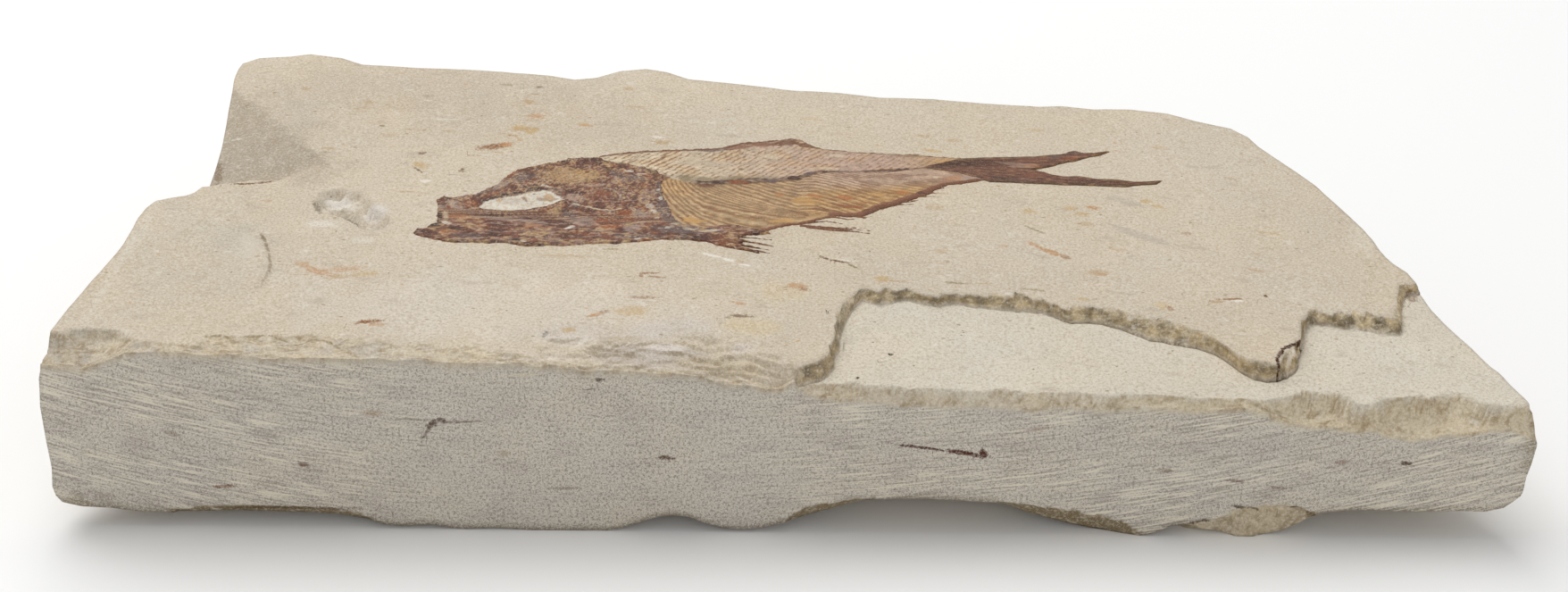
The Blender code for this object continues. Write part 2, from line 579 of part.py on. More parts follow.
def main():
    clear_scene()
    slab_parts = new_collection("fossil_fish_slab")
    cutters = new_collection("cutters")

    stone = new_object("stone_slab", stone_block(), slab_parts)
    stone.data.materials.append(new_material("limestone", (0.60, 0.50, 0.38), 0.85))
    cut(stone, new_cutter("cut_step", step_cutter(), cutters))
    for number, (drop, outline) in enumerate(LAMINAE, start=1):
        cut(stone, new_cutter(f"cut_lamina_{number}", lamina_cutter(drop, outline), cutters))
    cut(stone, new_cutter("cut_corner_facet", corner_facet_cutter(), cutters))
    cut(stone, new_cutter("cut_pit", pit_cutter(), cutters))
    cut(stone, new_cutter("cut_arris", arris_cutter(), cutters))
    for number, facet in enumerate(FOOT_FACETS, start=1):
        cut(stone, new_cutter(f"cut_foot_{number}", foot_facet_cutter(*facet), cutters))
    for number, patches in enumerate(fish_patches()):
        hollow = bed_cutter(patches, number * BED_STAGGER)
        cut(stone, new_cutter(f"cut_fish_bed_{number + 1}", hollow, cutters))

    fish = new_object("fossil_fish", fish_body(), slab_parts)
    fish.data.materials.append(new_material("fossil_bone", (0.115, 0.05, 0.035), 0.6))
    cut(fish, new_cutter("cut_orbit", orbit_cutter(), cutters))


main()
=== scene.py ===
# %% [markdown]
# # A fossil fish on its slab of limestone
#
# The object is one block of pale, thinly bedded limestone and one fossil fish on its upper face. The
# front edge is sawn flat, and every other edge is broken. Both pieces are worked out here as numpy
# surfaces: whole arrays of heights and colours go into each mesh in one call.
#
# All shapes below are in millimetres: x runs along the sawn edge from its middle, y runs back from the
# sawn face, and z is the height above the ground. Only `to_metres` turns them into the frame's metres.

# %% Load the frame
import math
from itertools import product

import bpy
import numpy as np
from mathutils import Matrix, Vector


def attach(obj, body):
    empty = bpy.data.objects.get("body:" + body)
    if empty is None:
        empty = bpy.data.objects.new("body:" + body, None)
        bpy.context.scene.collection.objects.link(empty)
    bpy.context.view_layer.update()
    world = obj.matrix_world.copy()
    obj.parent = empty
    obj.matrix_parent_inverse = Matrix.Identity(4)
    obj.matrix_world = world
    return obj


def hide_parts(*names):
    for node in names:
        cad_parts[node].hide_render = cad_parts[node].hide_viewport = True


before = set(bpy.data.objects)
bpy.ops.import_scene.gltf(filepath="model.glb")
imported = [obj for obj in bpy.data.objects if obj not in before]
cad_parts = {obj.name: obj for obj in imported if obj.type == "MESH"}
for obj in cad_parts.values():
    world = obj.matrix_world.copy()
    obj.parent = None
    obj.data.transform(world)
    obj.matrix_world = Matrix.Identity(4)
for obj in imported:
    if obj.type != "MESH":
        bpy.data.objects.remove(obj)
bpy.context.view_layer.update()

# %% [markdown]
# ## Sizes that both pieces share
#
# The upper face is a bedding plane, which drops gently to the right. At the front right one layer of
# it has broken away and left a lower terrace, so every height is measured down from that plane.

# %% Sizes and the bedding plane
MM = 0.001
LENGTH, DEPTH = 199.0, 91.4
BED_HEIGHT, BED_SLOPE = 25.85, -0.0305
LAYER, LAYER_THINNING = 2.5, 0.055   # drop to the terrace at the sawn face, and its loss per mm back


def bedding(x):
    """Height of the upper bedding plane: a straight slope along x."""
    return BED_HEIGHT + BED_SLOPE * np.asarray(x, float)


def smooth(t):
    """S-shaped ramp: 0 below 0, 1 above 1, and 3t^2 - 2t^3 between them."""
    t = np.clip(t, 0.0, 1.0)
    return t * t * (3.0 - 2.0 * t)


def read(points, x):
    """The second coordinate of a polyline, read off at x by straight lines between its points."""
    points = np.asarray(points, float)
    return np.interp(x, points[:, 0], points[:, 1])


def reach_along(points):
    """Share of a polyline's length that is run through at each of its points."""
    steps = np.linalg.norm(np.diff(points, axis=0), axis=1)
    return np.concatenate(([0.0], np.cumsum(steps))) / steps.sum()


def along(points, share):
    """Points at the given shares of a polyline's length."""
    points = np.asarray(points, float)
    reach = reach_along(points)
    return np.stack([np.interp(share, reach, points[:, axis]) for axis in (0, 1)], axis=-1)


print("upper face from", bedding(-LENGTH / 2).round(2), "down to", bedding(LENGTH / 2).round(2), "mm")

# %% [markdown]
# ## Noise for stone and bone
#
# Broken stone is rough at every size. Blender's texture nodes could move the surface, but a mesh that
# is finished in numpy can be measured and exported as it is, so the noise is worked out here too. It
# is gradient noise: each corner of a cubic lattice has a random slope, and the value between the
# corners blends the eight slopes around it.

# %% Gradient noise on whole arrays
SHUFFLE = np.random.default_rng(11).permutation(256)
SLOPES = np.random.default_rng(12).normal(size=(256, 3))
SLOPES /= np.linalg.norm(SLOPES, axis=1)[:, None]


def noise(points, seed=0):
    """Gradient noise, about -1 to 1: a faded mix of the slopes at the eight corners of each cell."""
    points = np.asarray(points, float) + seed * 17.31
    cell = np.floor(points).astype(int)
    part = points - cell
    fade = part ** 3 * (part * (part * 6.0 - 15.0) + 10.0)
    total = np.zeros(points.shape[:-1])
    for corner in product((0, 1), repeat=3):
        here = cell + corner
        code = SHUFFLE[(SHUFFLE[(SHUFFLE[here[..., 0] & 255] + here[..., 1]) & 255] + here[..., 2]) & 255]
        weight = np.prod(np.where(corner, fade, 1.0 - fade), axis=-1)
        total += weight * ((part - corner) * SLOPES[code]).sum(axis=-1)
    return total * 1.6


def rough(x, y, z, size, octaves=1, seed=0):
    """Sum of noises, each half as large and half as strong as the one before it."""
    points = np.stack(np.broadcast_arrays(x, y, z), axis=-1) / size
    return sum(noise(points * 2 ** k, seed + k) / 2 ** k for k in range(octaves))


print("noise from", rough(np.arange(0, 50, 0.37), 0.0, 0.0, 3.0).min(), "up")

# %% [markdown]
# ## The outline of the block
#
# The four edges of the upper face are short lists of real positions, because a broken edge has no
# rule. The left, back and right edges are broken; the front one is straight.

# %% Edges of the upper face
LEFT_EDGE = [(-98.3, 0), (-97.7, 1.6), (-97.2, 4.7), (-96.5, 9.4), (-96, 11.8), (-95.1, 16.7),
    (-94.5, 19.2), (-93.5, 24.4), (-93.1, 27), (-92.8, 32), (-92.7, 35), (-92.2, 38), (-91.3, 40.4),
    (-89.5, 41.4), (-87.2, 42.4), (-86.2, 43.4), (-85.5, 45.2), (-85.3, 48), (-85.3, 54), (-85.5, 60),
    (-86, 66), (-86.5, 71), (-87.1, 78), (-87.5, 81.5), (-87.5, 85), (-87.2, 87.3)]
BACK_EDGE = [(-87.2, 87.3), (-85, 89.3), (-80, 90.4), (-77.2, DEPTH), (-72, 90.5), (-68.4, 88.4),
    (-60.8, 87.8), (-49.7, 87.8), (-38.6, 86.9), (-34.4, 85.9), (-31, 86.9), (-27.4, 89.7), (-23.3, 90.8),
    (-19.8, 89.8), (-16.3, 87.6), (-8, 86.4), (0.3, 85), (7.3, 84.7), (14, 83.4), (22.6, 83.7), (31, 82.9),
    (39, 82.5), (42.7, 83), (47.6, 82.2), (53.8, 82.5), (59.4, 81.4), (63.5, 79.1), (68.8, 77.1)]
RIGHT_EDGE = [(98.6, 0), (98.3, 2.6), (97.7, 4.2), (96.8, 6), (95.9, 9.1), (94.9, 10.8), (93.8, 14.1),
    (92.4, 17.5), (90.9, 21), (89.6, 24.5), (89, 27.5), (88.5, 29.6), (87.8, 32.5), (86.4, 35), (85.6, 37),
    (85.1, 39.1), (84.7, 42), (83.8, 45.5), (82.3, 49.8), (80.8, 53.8), (79.1, 58.6), (76.8, 63.1),
    (74.2, 67.7), (72.4, 71), (71.2, 74.4), (68.8, 77.1)]
# how far the broken walls stand out below the upper edge, by y; and the two ends of the sawn face, by
# height: they are a little rounded
LEFT_SWELL = [(0, 0.3), (10, 0.8), (36, 1.2), (43, 0.3), (90, 0.2)]
RIGHT_SWELL = [(0, 0.2), (12, 0.4), (80, 0.4)]
BACK_SWELL = 0.8
LEFT_END = [(0, -97), (3.5, -97.9), (4.9, -98.9), (6.4, -99.2), (9.3, -98.9), (14, -99.1), (19.2, -99.2),
    (22, -98.9), (24.7, -98.8), (27.5, -98.1)]
RIGHT_END = [(4, 96.8), (5.5, 97.8), (6.7, 98.5), (7.9, 98.9), (10.2, 99), (12.5, 99.4), (15.4, 99.7),
    (17, 99.5), (19.3, 99.1), (20.4, 98.7), (22.5, 98.4)]


def side_x(edge, y):
    """x of a side edge at each y, by straight lines between its points."""
    edge = np.asarray(edge, float)
    return np.interp(y, edge[:, 1], edge[:, 0])


print("front edge", round(RIGHT_EDGE[0][0] - LEFT_EDGE[0][0], 1), "mm")

# %% [markdown]
# ## The step
#
# The broken layer's edge is the boldest shape on the slab. Its foot and its lip are two curves. Rows
# of the grid run exactly along both, so that the edge stays sharp with few faces, and the columns
# crowd together where the curves turn towards the back.

# %% Foot and lip of the step
STEP_FOOT = [(0.9, 0.3), (2.2, 0.7), (3.9, 1.4), (5, 2.5), (5.7, 4), (6.1, 5.8), (6.4, 8.5), (6.9, 11.3),
    (7.2, 14), (7.7, 16), (8.3, 17.7), (9, 18.9), (9.7, 20), (10.3, 20.9), (11.5, 20.2), (12.5, 19.4),
    (14.2, 20.8), (15.3, 21.3), (16.2, 21.5), (17.8, 20.8), (20.5, 20.3), (23.8, 21.1), (25.4, 20.6),
    (27.7, 20.5), (29.9, 20.1), (34.4, 19.9), (35.5, 19.5), (36.5, 18.9), (37.5, 18.2), (38.6, 17.8),
    (39.6, 17.9), (40.7, 18), (42.8, 17.9), (45.1, 16.9), (47.4, 15.4), (49.1, 14.2), (50.6, 13.9),
    (53.2, 13.2), (55.3, 12.6), (57.3, 11.6), (59.1, 9.6), (60.5, 7.4), (62.1, 5.7), (63.6, 5.2),
    (65, 5.1), (66.4, 5.9), (67.8, 7.1), (68.6, 8.9), (69.2, 11.2), (70.1, 13.9), (71, 16.6), (71.7, 18.7),
    (72.6, 19.3), (74.7, 19.1), (77.5, 18.5), (79.8, 18.3), (81.6, 17.5), (84.4, 17.6), (85.1, 21.4),
    (85.7, 24.4), (86.5, 27.2), (88.7, 28.2)]
STEP_LIP = [(0.4, 1.1), (1.8, 1.7), (3.3, 2.5), (4.5, 3.7), (5.2, 5.2), (5.6, 7), (5.9, 9), (6.2, 11.9),
    (6.4, 14), (6.7, 16.2), (7.3, 18), (8.1, 19.4), (9, 20.9), (9.7, 21.8), (10.4, 21.9), (11.4, 21.1),
    (12.3, 19.9), (13.2, 21.2), (14.4, 21.8), (16.2, 22.2), (17.8, 21.9), (18.7, 21), (19.8, 20.7),
    (21.3, 21), (23.2, 21.9), (24.9, 21.4), (26.5, 21.5), (27.7, 22.3), (29.9, 22), (31.7, 21.7),
    (33.4, 20.9), (34.8, 21), (35.7, 20.3), (36.7, 19.6), (37.7, 18.8), (38.7, 18.3), (39.8, 18.5),
    (40.7, 19.3), (41.6, 20), (44.2, 19.3), (46.7, 18.4), (49.8, 16.9), (52.3, 15.8), (54.3, 14.6),
    (56.7, 13), (58.6, 11.1), (59.7, 9.6), (60.7, 7.7), (62, 6.2), (63.5, 5.7), (65.1, 5.6), (66.3, 6.4),
    (67.6, 7.6), (68.3, 9.3), (68.8, 11.3), (69.8, 14.2), (70.7, 17.1), (71.5, 19.3), (72.2, 20.6),
    (73.4, 19.9), (76.5, 20.1), (79.3, 20.6), (80.8, 20.2), (84.1, 19.7), (84.7, 22.8), (85, 24.7),
    (85.9, 26.9), (88, 29.1)]
# where the broken layer's under edge stands open, by x: 0 is shut, 1 is a thin groove with painted shadow
UNDERCUT = [(0.5, 0.7), (4, 0.7), (6.5, 0.3), (10, 0.4), (20, 0.3), (30, 0.5), (36, 0.6), (40, 1), (66, 1),
    (69, 0.6), (72, 0.2), (84, 0.3), (88, 0.5)]
FRONT_ROWS, WALL_ROWS, BACK_ROWS = 32, 9, 84
COLUMN_PITCH, STEEP_PITCH = 0.62, 0.2
STEEP_PARTS = ((0.6, 7.4), (35.2, 37.2), (39.2, 41.2), (67.4, 72.2), (84.0, 86.4))


def column_shares():
    """Shares of the front edge for the columns: the reach of a density that is high where the step
    turns back, cut into equal parts."""
    fine = np.linspace(LEFT_EDGE[0][0], RIGHT_EDGE[0][0], 4000)
    density = np.full_like(fine, 1.0 / COLUMN_PITCH)
    for start, end in STEEP_PARTS:
        window = smooth((fine - start + 1.0) / 1.0) * smooth((end + 1.0 - fine) / 1.0)
        density += window / STEEP_PITCH
    reach = np.concatenate(([0.0], np.cumsum((density[1:] + density[:-1]) / 2 * np.diff(fine))))
    count = int(round(reach[-1]))
    places = np.interp(np.linspace(0, reach[-1], count + 1), reach, fine)
    return (places - fine[0]) / (fine[-1] - fine[0])


def column_x(share, y):
    """x of a column at depth y: the same share of the width between the two side edges."""
    left, right = side_x(LEFT_EDGE, y), side_x(RIGHT_EDGE, y)
    return left + (right - left) * share


def front_zone(x):
    """Rows that take the place of foot and lip left of the step, where there is only a worn arris."""
    foot = 0.7 + 4.3 * smooth((1.7 - x) / 9.0)
    return foot, foot + 1.5 + 1.5 * smooth((1.7 - x) / 9.0)


def crossing(curve, share, start, before):
    """Depth at which each column first meets a curve that is read as y over x."""
    depths = np.linspace(0, 45, 900)
    x = column_x(share[:, None], depths[None])
    level = np.where(x >= start, read(curve, x), before(x))
    behind = depths[None] >= level
    return depths[np.argmax(behind, axis=1)]


shares = column_shares()
foot_y = crossing(STEP_FOOT, shares, STEP_FOOT[0][0], lambda x: front_zone(x)[0])
lip_y = np.maximum(crossing(STEP_LIP, shares, STEP_LIP[0][0], lambda x: front_zone(x)[1]), foot_y + 0.2)
print(len(shares), "columns; the lip lies", (lip_y - foot_y).min(), "mm or more behind the foot")

# %% [markdown]
# ## Heights of the upper face
#
# The face is worked out as a sum of losses: what the step took away, the thin laminae that flaked off
# next to it, the chips along the sawn arris, the facet that falls to the back left corner, and the
# rough pit. Limestone like this splits along its laminae, so each loss is rounded to whole laminae
# with a short riser between them.

# %% Losses from the upper face
LAMINA = 0.62
# the chipped band along the front arris: how far back it reaches, and how deep it is at the sawn face
BAND_BACK = [(-99.5, 3.4), (-96.8, 3.6), (-92.5, 3.9), (-88.7, 4.4), (-87.1, 2.3), (-83.6, 1.4),
    (-77.4, 1.4), (-76.8, 4.4), (-73.5, 4.1), (-70.8, 3.8), (-65.6, 4.8), (-58, 4.2), (-50, 3.6), (-44, 3),
    (-38, 2.3), (-34, 1.2), (-30, 0.8), (1.6, 0.6), (6, 0.9), (8.5, 1.5), (10, 0.7), (13, 1.1), (16, 0.6),
    (20, 1), (24, 0.5), (28, 1.2), (32, 0.6), (37, 1.1), (42, 0.6), (46, 0.9), (50, 1.3), (54, 0.6),
    (58, 1.1), (62, 0.7), (63.7, 0.9), (65.4, 1.6), (67.1, 2.5), (69.3, 3), (71.9, 2.8), (73.9, 1.9),
    (75.2, 0.8), (77.2, 0.5), (79.4, 2.2), (82.1, 2.9), (84.9, 3.7), (87.5, 3.6), (90.3, 3), (92.2, 2.1),
    (93.6, 1.4), (97.1, 1.7), (99, 2)]
BAND_DOWN = [(-99.5, 3.5), (-98.5, 3.4), (-93.1, 3.8), (-89.5, 2.5), (-86.7, 1.2), (-83.1, 0.6),
    (-77.7, 0.9), (-75.2, 0.8), (-67.4, 0.9), (-60, 0.7), (-50, 0.6), (-38, 0.5), (-31.7, 0.4), (-20, 0.3),
    (-4, 0.3), (1.6, 0.5), (2.2, 1.2), (6.6, 1.85), (11.4, 2), (18.5, 2.1), (22, 2.4), (25.5, 1.7),
    (32.2, 2.4), (35.5, 1.5), (43.1, 2), (45.6, 1.2), (53.1, 1.6), (57, 1.2), (63.2, 1.3), (64.1, 2.4),
    (67.6, 3.4), (72.9, 3.7), (78.1, 3.7), (80.8, 4.5), (83.5, 4.9), (88.6, 3.85), (92.5, 3.1),
    (95.9, 2.8), (99.4, 4.2)]
SCARP_SHARE = [(-99, 0.3), (0, 0.3), (20, 0.5), (60, 0.45), (64, 0.5), (98, 0.45)]
CHIP_RELIEF = [(-99, 0.25), (-86, 0.12), (58, 0.14), (64, 0.24), (98, 0.28)]
# ledges of the flaked patch left of the step: the line of each riser, and its height at both ends
LEDGES = [([(-34, -1), (-33, 3.2), (-31.9, 4.7), (-31.2, 5.6), (-27.9, 5.6), (-25.1, 4.6), (-23.5, 3.2),
    (-21.4, 3.7), (-20.3, 5.5), (-18.8, 6.2), (-16.1, 5.8), (-14.9, 6.8), (-12.8, 6), (-10.5, 5.8),
    (-8, 6.4), (-6, 6), (-3, 4.6), (-1, 3.9), (1.2, 3)], 0.22, 0.4),
    ([(-31.5, -1), (-29.6, 2.4), (-27, 3), (-24.6, 1.6), (-22.6, 1.4), (-20.8, 3.9), (-19, 4.7),
    (-16.6, 4.2), (-14.6, 4.6), (-12, 3.4), (-9.6, 2.6), (-8.2, 4.2), (-6.4, 5.2), (-4.8, 4.4),
    (-3.6, 3.2), (-2, 2.6), (1.4, 2.1)], 0.2, 0.85),
    ([(-20.6, -1), (-18.4, 2.2), (-15, 2.6), (-12.4, 1.4), (-9.4, 1.6), (-7.6, 2.8), (-5.4, 3.4),
    (-3.6, 2), (-1.4, 1.5), (1.6, 1.3)], 0.22, 0.85),
    ([(-13.6, -1), (-10.6, 0.7), (-7.6, 1.5), (-5, 1.9), (-2.6, 0.9), (1.8, 0.7)], 0.35, 0.75)]
CORNER_START, CORNER_END = np.array((-87.3, 79.7)), np.array((-69.0, 55.8))
CORNER_FRONT = [(-97, 44.4), (-84.6, 45.4), (-78.8, 47.8), (-77, 47.6), (-74.7, 48.8), (-72.7, 50.7),
    (-70.9, 52.9), (-68, 53.6)]
CORNER_FALL = 0.11
PIT_EDGE = [(-68.2, 41.1, 1.3), (-68.5, 45, 0.6), (-65.5, 46.3, 0.4), (-62.4, 45.5, 0.3),
    (-60.8, 42.4, 0.35), (-59.6, 40.1, 0.3), (-57.1, 37.4, 0.2), (-57.7, 34.5, 0.5), (-59.8, 33.8, 1),
    (-62.2, 36.4, 1.3), (-65.8, 38.6, 1.6)]
SCAR = [(-74.6, 31.5), (-73.4, 28.6), (-72.5, 26), (-71.8, 23), (-71.6, 20.7), (-72, 17.5), (-73.4, 14)]
print(len(LEDGES), "ledges, and laminae of", LAMINA, "mm")

# %% Laminae, ledges and flakes
def laminated(depth, x, y, seed, riser=0.3):
    """A loss rounded to whole laminae: the whole part of depth over thickness, with a short S-shaped
    riser, after noise has made the edges of the laminae wander."""
    level = depth / LAMINA + 0.9 * rough(x, y, 0, 3.2, 3, seed)
    whole = np.floor(level)
    stepped = LAMINA * (whole + smooth((level - whole - 1 + riser) / riser))
    return np.where(depth > 0.02, np.maximum(stepped, 0.0) * smooth(depth / 0.25), 0.0)


def ledges(x, y):
    """Laminae lost left of the step: behind each riser's line the loss is 0, in front of it the
    riser's height, and noise makes the line ragged."""
    ragged = 0.5 * rough(x, y, 0, 1.7, 3, 16)
    lost = np.zeros(np.shape(x))
    for line, low, high in LEDGES:
        start, end = line[0][0], line[-1][0]
        height = low + (high - low) * smooth((x - start) / (end - start) * 1.3 - 0.3)
        inside = (x > start) * smooth((end + 0.8 - x) / 4.0)
        lost += height * inside * smooth((read(line, x) + ragged - y) / 0.45)
    return lost


def flakes(x, y):
    """Scales lost from the same patch: a noise cut into levels, so that each scale has a ragged closed
    edge, fading out at the patch's borders."""
    inside = smooth((x + 36.0) / 5.0) * smooth((1.0 - x) / 1.5) * smooth((10.0 - y) / 4.0)
    level = 3.0 * rough(x, 1.3 * y, 0.0, 5.0, 3, 28) + 0.8
    whole = np.floor(level)
    return 0.24 * inside * np.clip(whole + smooth((level - whole - 0.7) / 0.3), 0.0, 3.0)


print("deepest ledge", ledges(np.linspace(-30, 5, 50), np.zeros(50)).max(), "mm")

# %% Chips along the arris, and the corner facet
def band(x, y):
    """The chipped band: a short steep scarp at its back edge, then an almost straight fall to the
    sawn face."""
    back = read(BAND_BACK, x) * (1.0 + 0.3 * rough(x, y, 0, 2.4, 2, 3)) + 0.12 * rough(x, 0, 0, 0.9, 2, 17)
    share = np.clip(1.0 - y / np.maximum(back, 0.25), 0.0, 1.0)
    scarp = read(SCARP_SHARE, x)
    fall = scarp * smooth(share / 0.3) + (1 - scarp) * share ** 0.9
    return read(BAND_DOWN, x) * fall * (share > 0)


def corner_facet(x, y):
    """The facet at the back left: deepens evenly away from the line on which it starts, and stops at
    its front edge."""
    run = CORNER_END - CORNER_START
    across = np.array((run[1], -run[0])) / np.linalg.norm(run)
    away = (x - CORNER_START[0]) * across[0] + (y - CORNER_START[1]) * across[1]
    behind = y - read(CORNER_FRONT, x) - 0.25 * rough(x, y, 0, 2.0, 2, 4)
    return np.maximum(away, 0.0) * CORNER_FALL * smooth(behind / 0.9) * (x < CORNER_FRONT[-1][0])


print("deepest chip", band(np.linspace(-99, 99, 500), np.zeros(500)).max(), "mm")

# %% The pit and the scar
def signed_distance(x, y, outline):
    """Distance to a closed outline, above 0 inside it: the least distance to any of its sides, with
    the sign of how often a line to the right crosses them."""
    nearest = np.full(np.shape(x), np.inf)
    inside = np.zeros(np.shape(x), bool)
    outline = np.asarray(outline, float)
    for (ax, ay), (bx, by) in zip(outline, np.roll(outline, -1, axis=0)):
        dx, dy = bx - ax, by - ay
        share = np.clip(((x - ax) * dx + (y - ay) * dy) / (dx * dx + dy * dy), 0.0, 1.0)
        nearest = np.minimum(nearest, np.hypot(x - ax - share * dx, y - ay - share * dy))
        if dy:
            inside ^= ((ay > y) != (by > y)) & (x < ax + dx * (y - ay) / dy)
    return np.where(inside, nearest, -nearest)


def pit(x, y):
    """The rough pit: a tilted floor, deepest at its front left, under a ragged edge."""
    edge = np.array(PIT_EDGE)
    inside = signed_distance(x, y, edge[:, :2]) + 0.5 * rough(x, y, 0, 1.8, 2, 5)
    tilt = 1.35 - 0.062 * ((x + 66.0) + (y - 38.0))
    floor = np.clip(1.4 * tilt, 0.3, 2.1) + 0.7 * rough(x, y, 0, 1.6, 3, 6)
    return np.maximum(floor, 0.1) * smooth(inside / 0.7)


def scar(x, y):
    """A thin lamina that ends at a ragged line: a riser to the left that fades out further left."""
    line = np.array(SCAR)[::-1]
    edge = np.interp(y, line[:, 1], line[:, 0]) + 0.35 * rough(x, y, 0, 2.0, 2, 7)
    left = edge - x
    reach = smooth((y - 13.5) / 4.0) * smooth((32.5 - y) / 3.0)
    return -0.55 * smooth((left + 0.2) / 0.4) * smooth((11.0 - left) / 11.0) * reach


print("depth of the pit", pit(np.array([-64.0]), np.array([40.0])), "mm")

# %% The sum of the losses
def undulation(x, y):
    """The gentle unevenness of the bedding face itself."""
    return 0.16 * rough(x, y, 0, 23.0, 2, 8) + 0.05 * rough(x, y, 0, 5.0, 2, 9)


def upper_height(x, y, up):
    """Height of the face: up is 1 above the step, 0 on the terrace and between them on its wall."""
    terrace = LAYER - LAYER_THINNING * y + 0.12 * rough(x, y, 0, 14.0, 2, 13)
    lost = terrace * (1.0 - up) + (ledges(x, y) + flakes(x, y)) * up
    chip = band(x, y)
    lost = lost + 0.55 * chip + 0.45 * laminated(chip, x, y, 14)
    lost = lost + corner_facet(x, y) + pit(x, y) + scar(x, y)
    chipped = smooth(chip / 0.3)
    grain = 0.05 * rough(x, y, 0, 1.4, 2, 15) + chipped * read(CHIP_RELIEF, x) * rough(x, y, 0, 2.2, 3, 18)
    return bedding(x) - lost + undulation(x, y) + grain * smooth(lost / 0.3)


print("height at the middle of the face", upper_height(np.zeros(1), np.full(1, 45.0), 1.0), "mm")

# %% [markdown]
# ## The broken walls and the underside
#
# The sides broke lamina by lamina, so each lamina stands in or out by its own amount. The sawn face
# stays flat, apart from facets that broke off its lower edge. Underneath, a few lumps reach the
# ground.

# %% Walls and underside
FOOT_EDGE = [(-99.5, 5), (-98.2, 3.8), (-96.1, 3.2), (-91.7, 3), (-87.4, 2.4), (-80.9, 2.5), (-74.3, 2.7),
    (-65.6, 2.5), (-61.3, 2.3), (-57, 1.5), (-54.9, 0.8), (-52.7, 0.5), (-48.3, 0.8), (-46.1, 0.3),
    (-44, 0.1), (-39.6, 0.4), (-35.2, 0), (-24.3, 0.1), (-22.1, 0.7), (-19.9, 1.6), (-17.7, 2.4),
    (-15.5, 2.7), (-13.3, 2.4), (-11.2, 1.4), (-9, 0.7), (-6.8, 0.5), (-4.6, 0.6), (-2.4, 1.1),
    (-0.3, 1.7), (1.9, 2.6), (4.1, 3.4), (6.3, 4.1), (8.4, 4.9), (10.6, 5.5), (14.9, 5.8), (19.2, 5.8),
    (27.9, 5.3), (30.1, 4.7), (32.4, 3.7), (34.6, 3), (36.8, 2.3), (39, 1.7), (41.2, 1.2), (43.4, 0.8),
    (45.7, 0.4), (47.9, 0.1), (50, 0.6), (52.1, 1.9), (54.3, 2.1), (56.5, 1.2), (58.7, 1), (61, 0.1),
    (63.2, 0.1), (65.3, 0.6), (67.4, 1.2), (69.5, 2.4), (71.5, 3.9), (73.6, 4.4), (77.9, 4.7), (84.5, 4.5),
    (91, 4.7), (95.3, 4.6), (97.4, 5.2), (99.1, 8)]
SUPPORTS = [(-34, 8, 14, 9), (57, 8, 13, 8), (-56, 68, 16, 11), (38, 64, 15, 10)]
SUPPORT_DEPTH = 7.0
# facets broken off the sawn face's lower edge: the upper line of each, how far back its foot lies, and
# how deep the crack under its upper line is
FOOT_FACETS = [([(-84, 2.8), (-78, 3.5), (-72, 3.8), (-66, 3.6), (-60, 2.9), (-56, 1.6)], 1, 0),
    ([(-0.4, 2), (0.3, 2.7), (1, 3.3), (2.2, 4.1), (6.1, 5), (9.2, 5.6), (12, 5.8)], 1.2, 0),
    ([(28, 5.5), (30.3, 5.2), (35.4, 4.6), (40.5, 3.7), (44.2, 2.9), (46.7, 1.9), (48.7, 0.4)], 1.6, 0),
    ([(53.6, 2.1), (57, 2.8), (58.6, 3.4), (60, 4.4), (62, 5.1), (67, 5.3), (69, 5.1), (70.4, 4.5),
    (72, 4)], 0.7, 0.8)]
RING_SHARES = np.concatenate((np.linspace(0, 0.7, 15)[1:], np.linspace(0.7, 1.0, 14)[1:]))
UNDER_SHARES = (0.008, 0.03, 0.08, 0.16, 0.28, 0.42, 0.6, 0.82)
print(len(FOOT_FACETS), "facets at the foot,", len(SUPPORTS), "lumps on the ground")

# %% Heights of the underside
def facet_reach(line, back, x):
    """How far back the foot of a facet lies at each x: never so far that it would be under ground."""
    inside = smooth(x - line[0][0]) * smooth(line[-1][0] - x)
    return inside * np.minimum(back, read(FOOT_EDGE, x) / 0.6)


def foot_height(x):
    """Height of the sawn face's lower edge; a foot that lies further back is also lower, so that it
    shows on the same line."""
    reach = np.max([facet_reach(line, back, x) for line, back, _ in FOOT_FACETS], axis=0)
    return np.maximum(read(FOOT_EDGE, x) - 0.577 * reach, 0.0)


def underside(x, y):
    """Height of the under face: the foot of the sawn face in front, laminated ledges behind it, and
    the lumps that reach the ground."""
    broken = 4.4 + 2.2 * rough(x, y, 0, 26.0, 1, 20) + 1.1 * rough(x, y, 0, 9.0, 3, 21)
    level = broken / 1.5
    ledged = 1.5 * (np.floor(level) + smooth((level % 1.0 - 0.35) / 0.3))
    inward = smooth(y / 11.0)
    height = (1 - inward) * foot_height(x) + inward * ledged
    height = height + 0.25 * rough(x, y, 0, 3.0, 2, 22) * inward
    for middle_x, middle_y, half_x, half_y in SUPPORTS:
        spread = ((x - middle_x) / half_x) ** 2 + ((y - middle_y) / half_y) ** 2
        height = height - SUPPORT_DEPTH * smooth(1.0 - spread) * smooth(y / 3.0)
    return np.maximum(height, 0.0)


print("height of the foot at both ends", foot_height(np.array((-99.0, 99.0))), "mm")

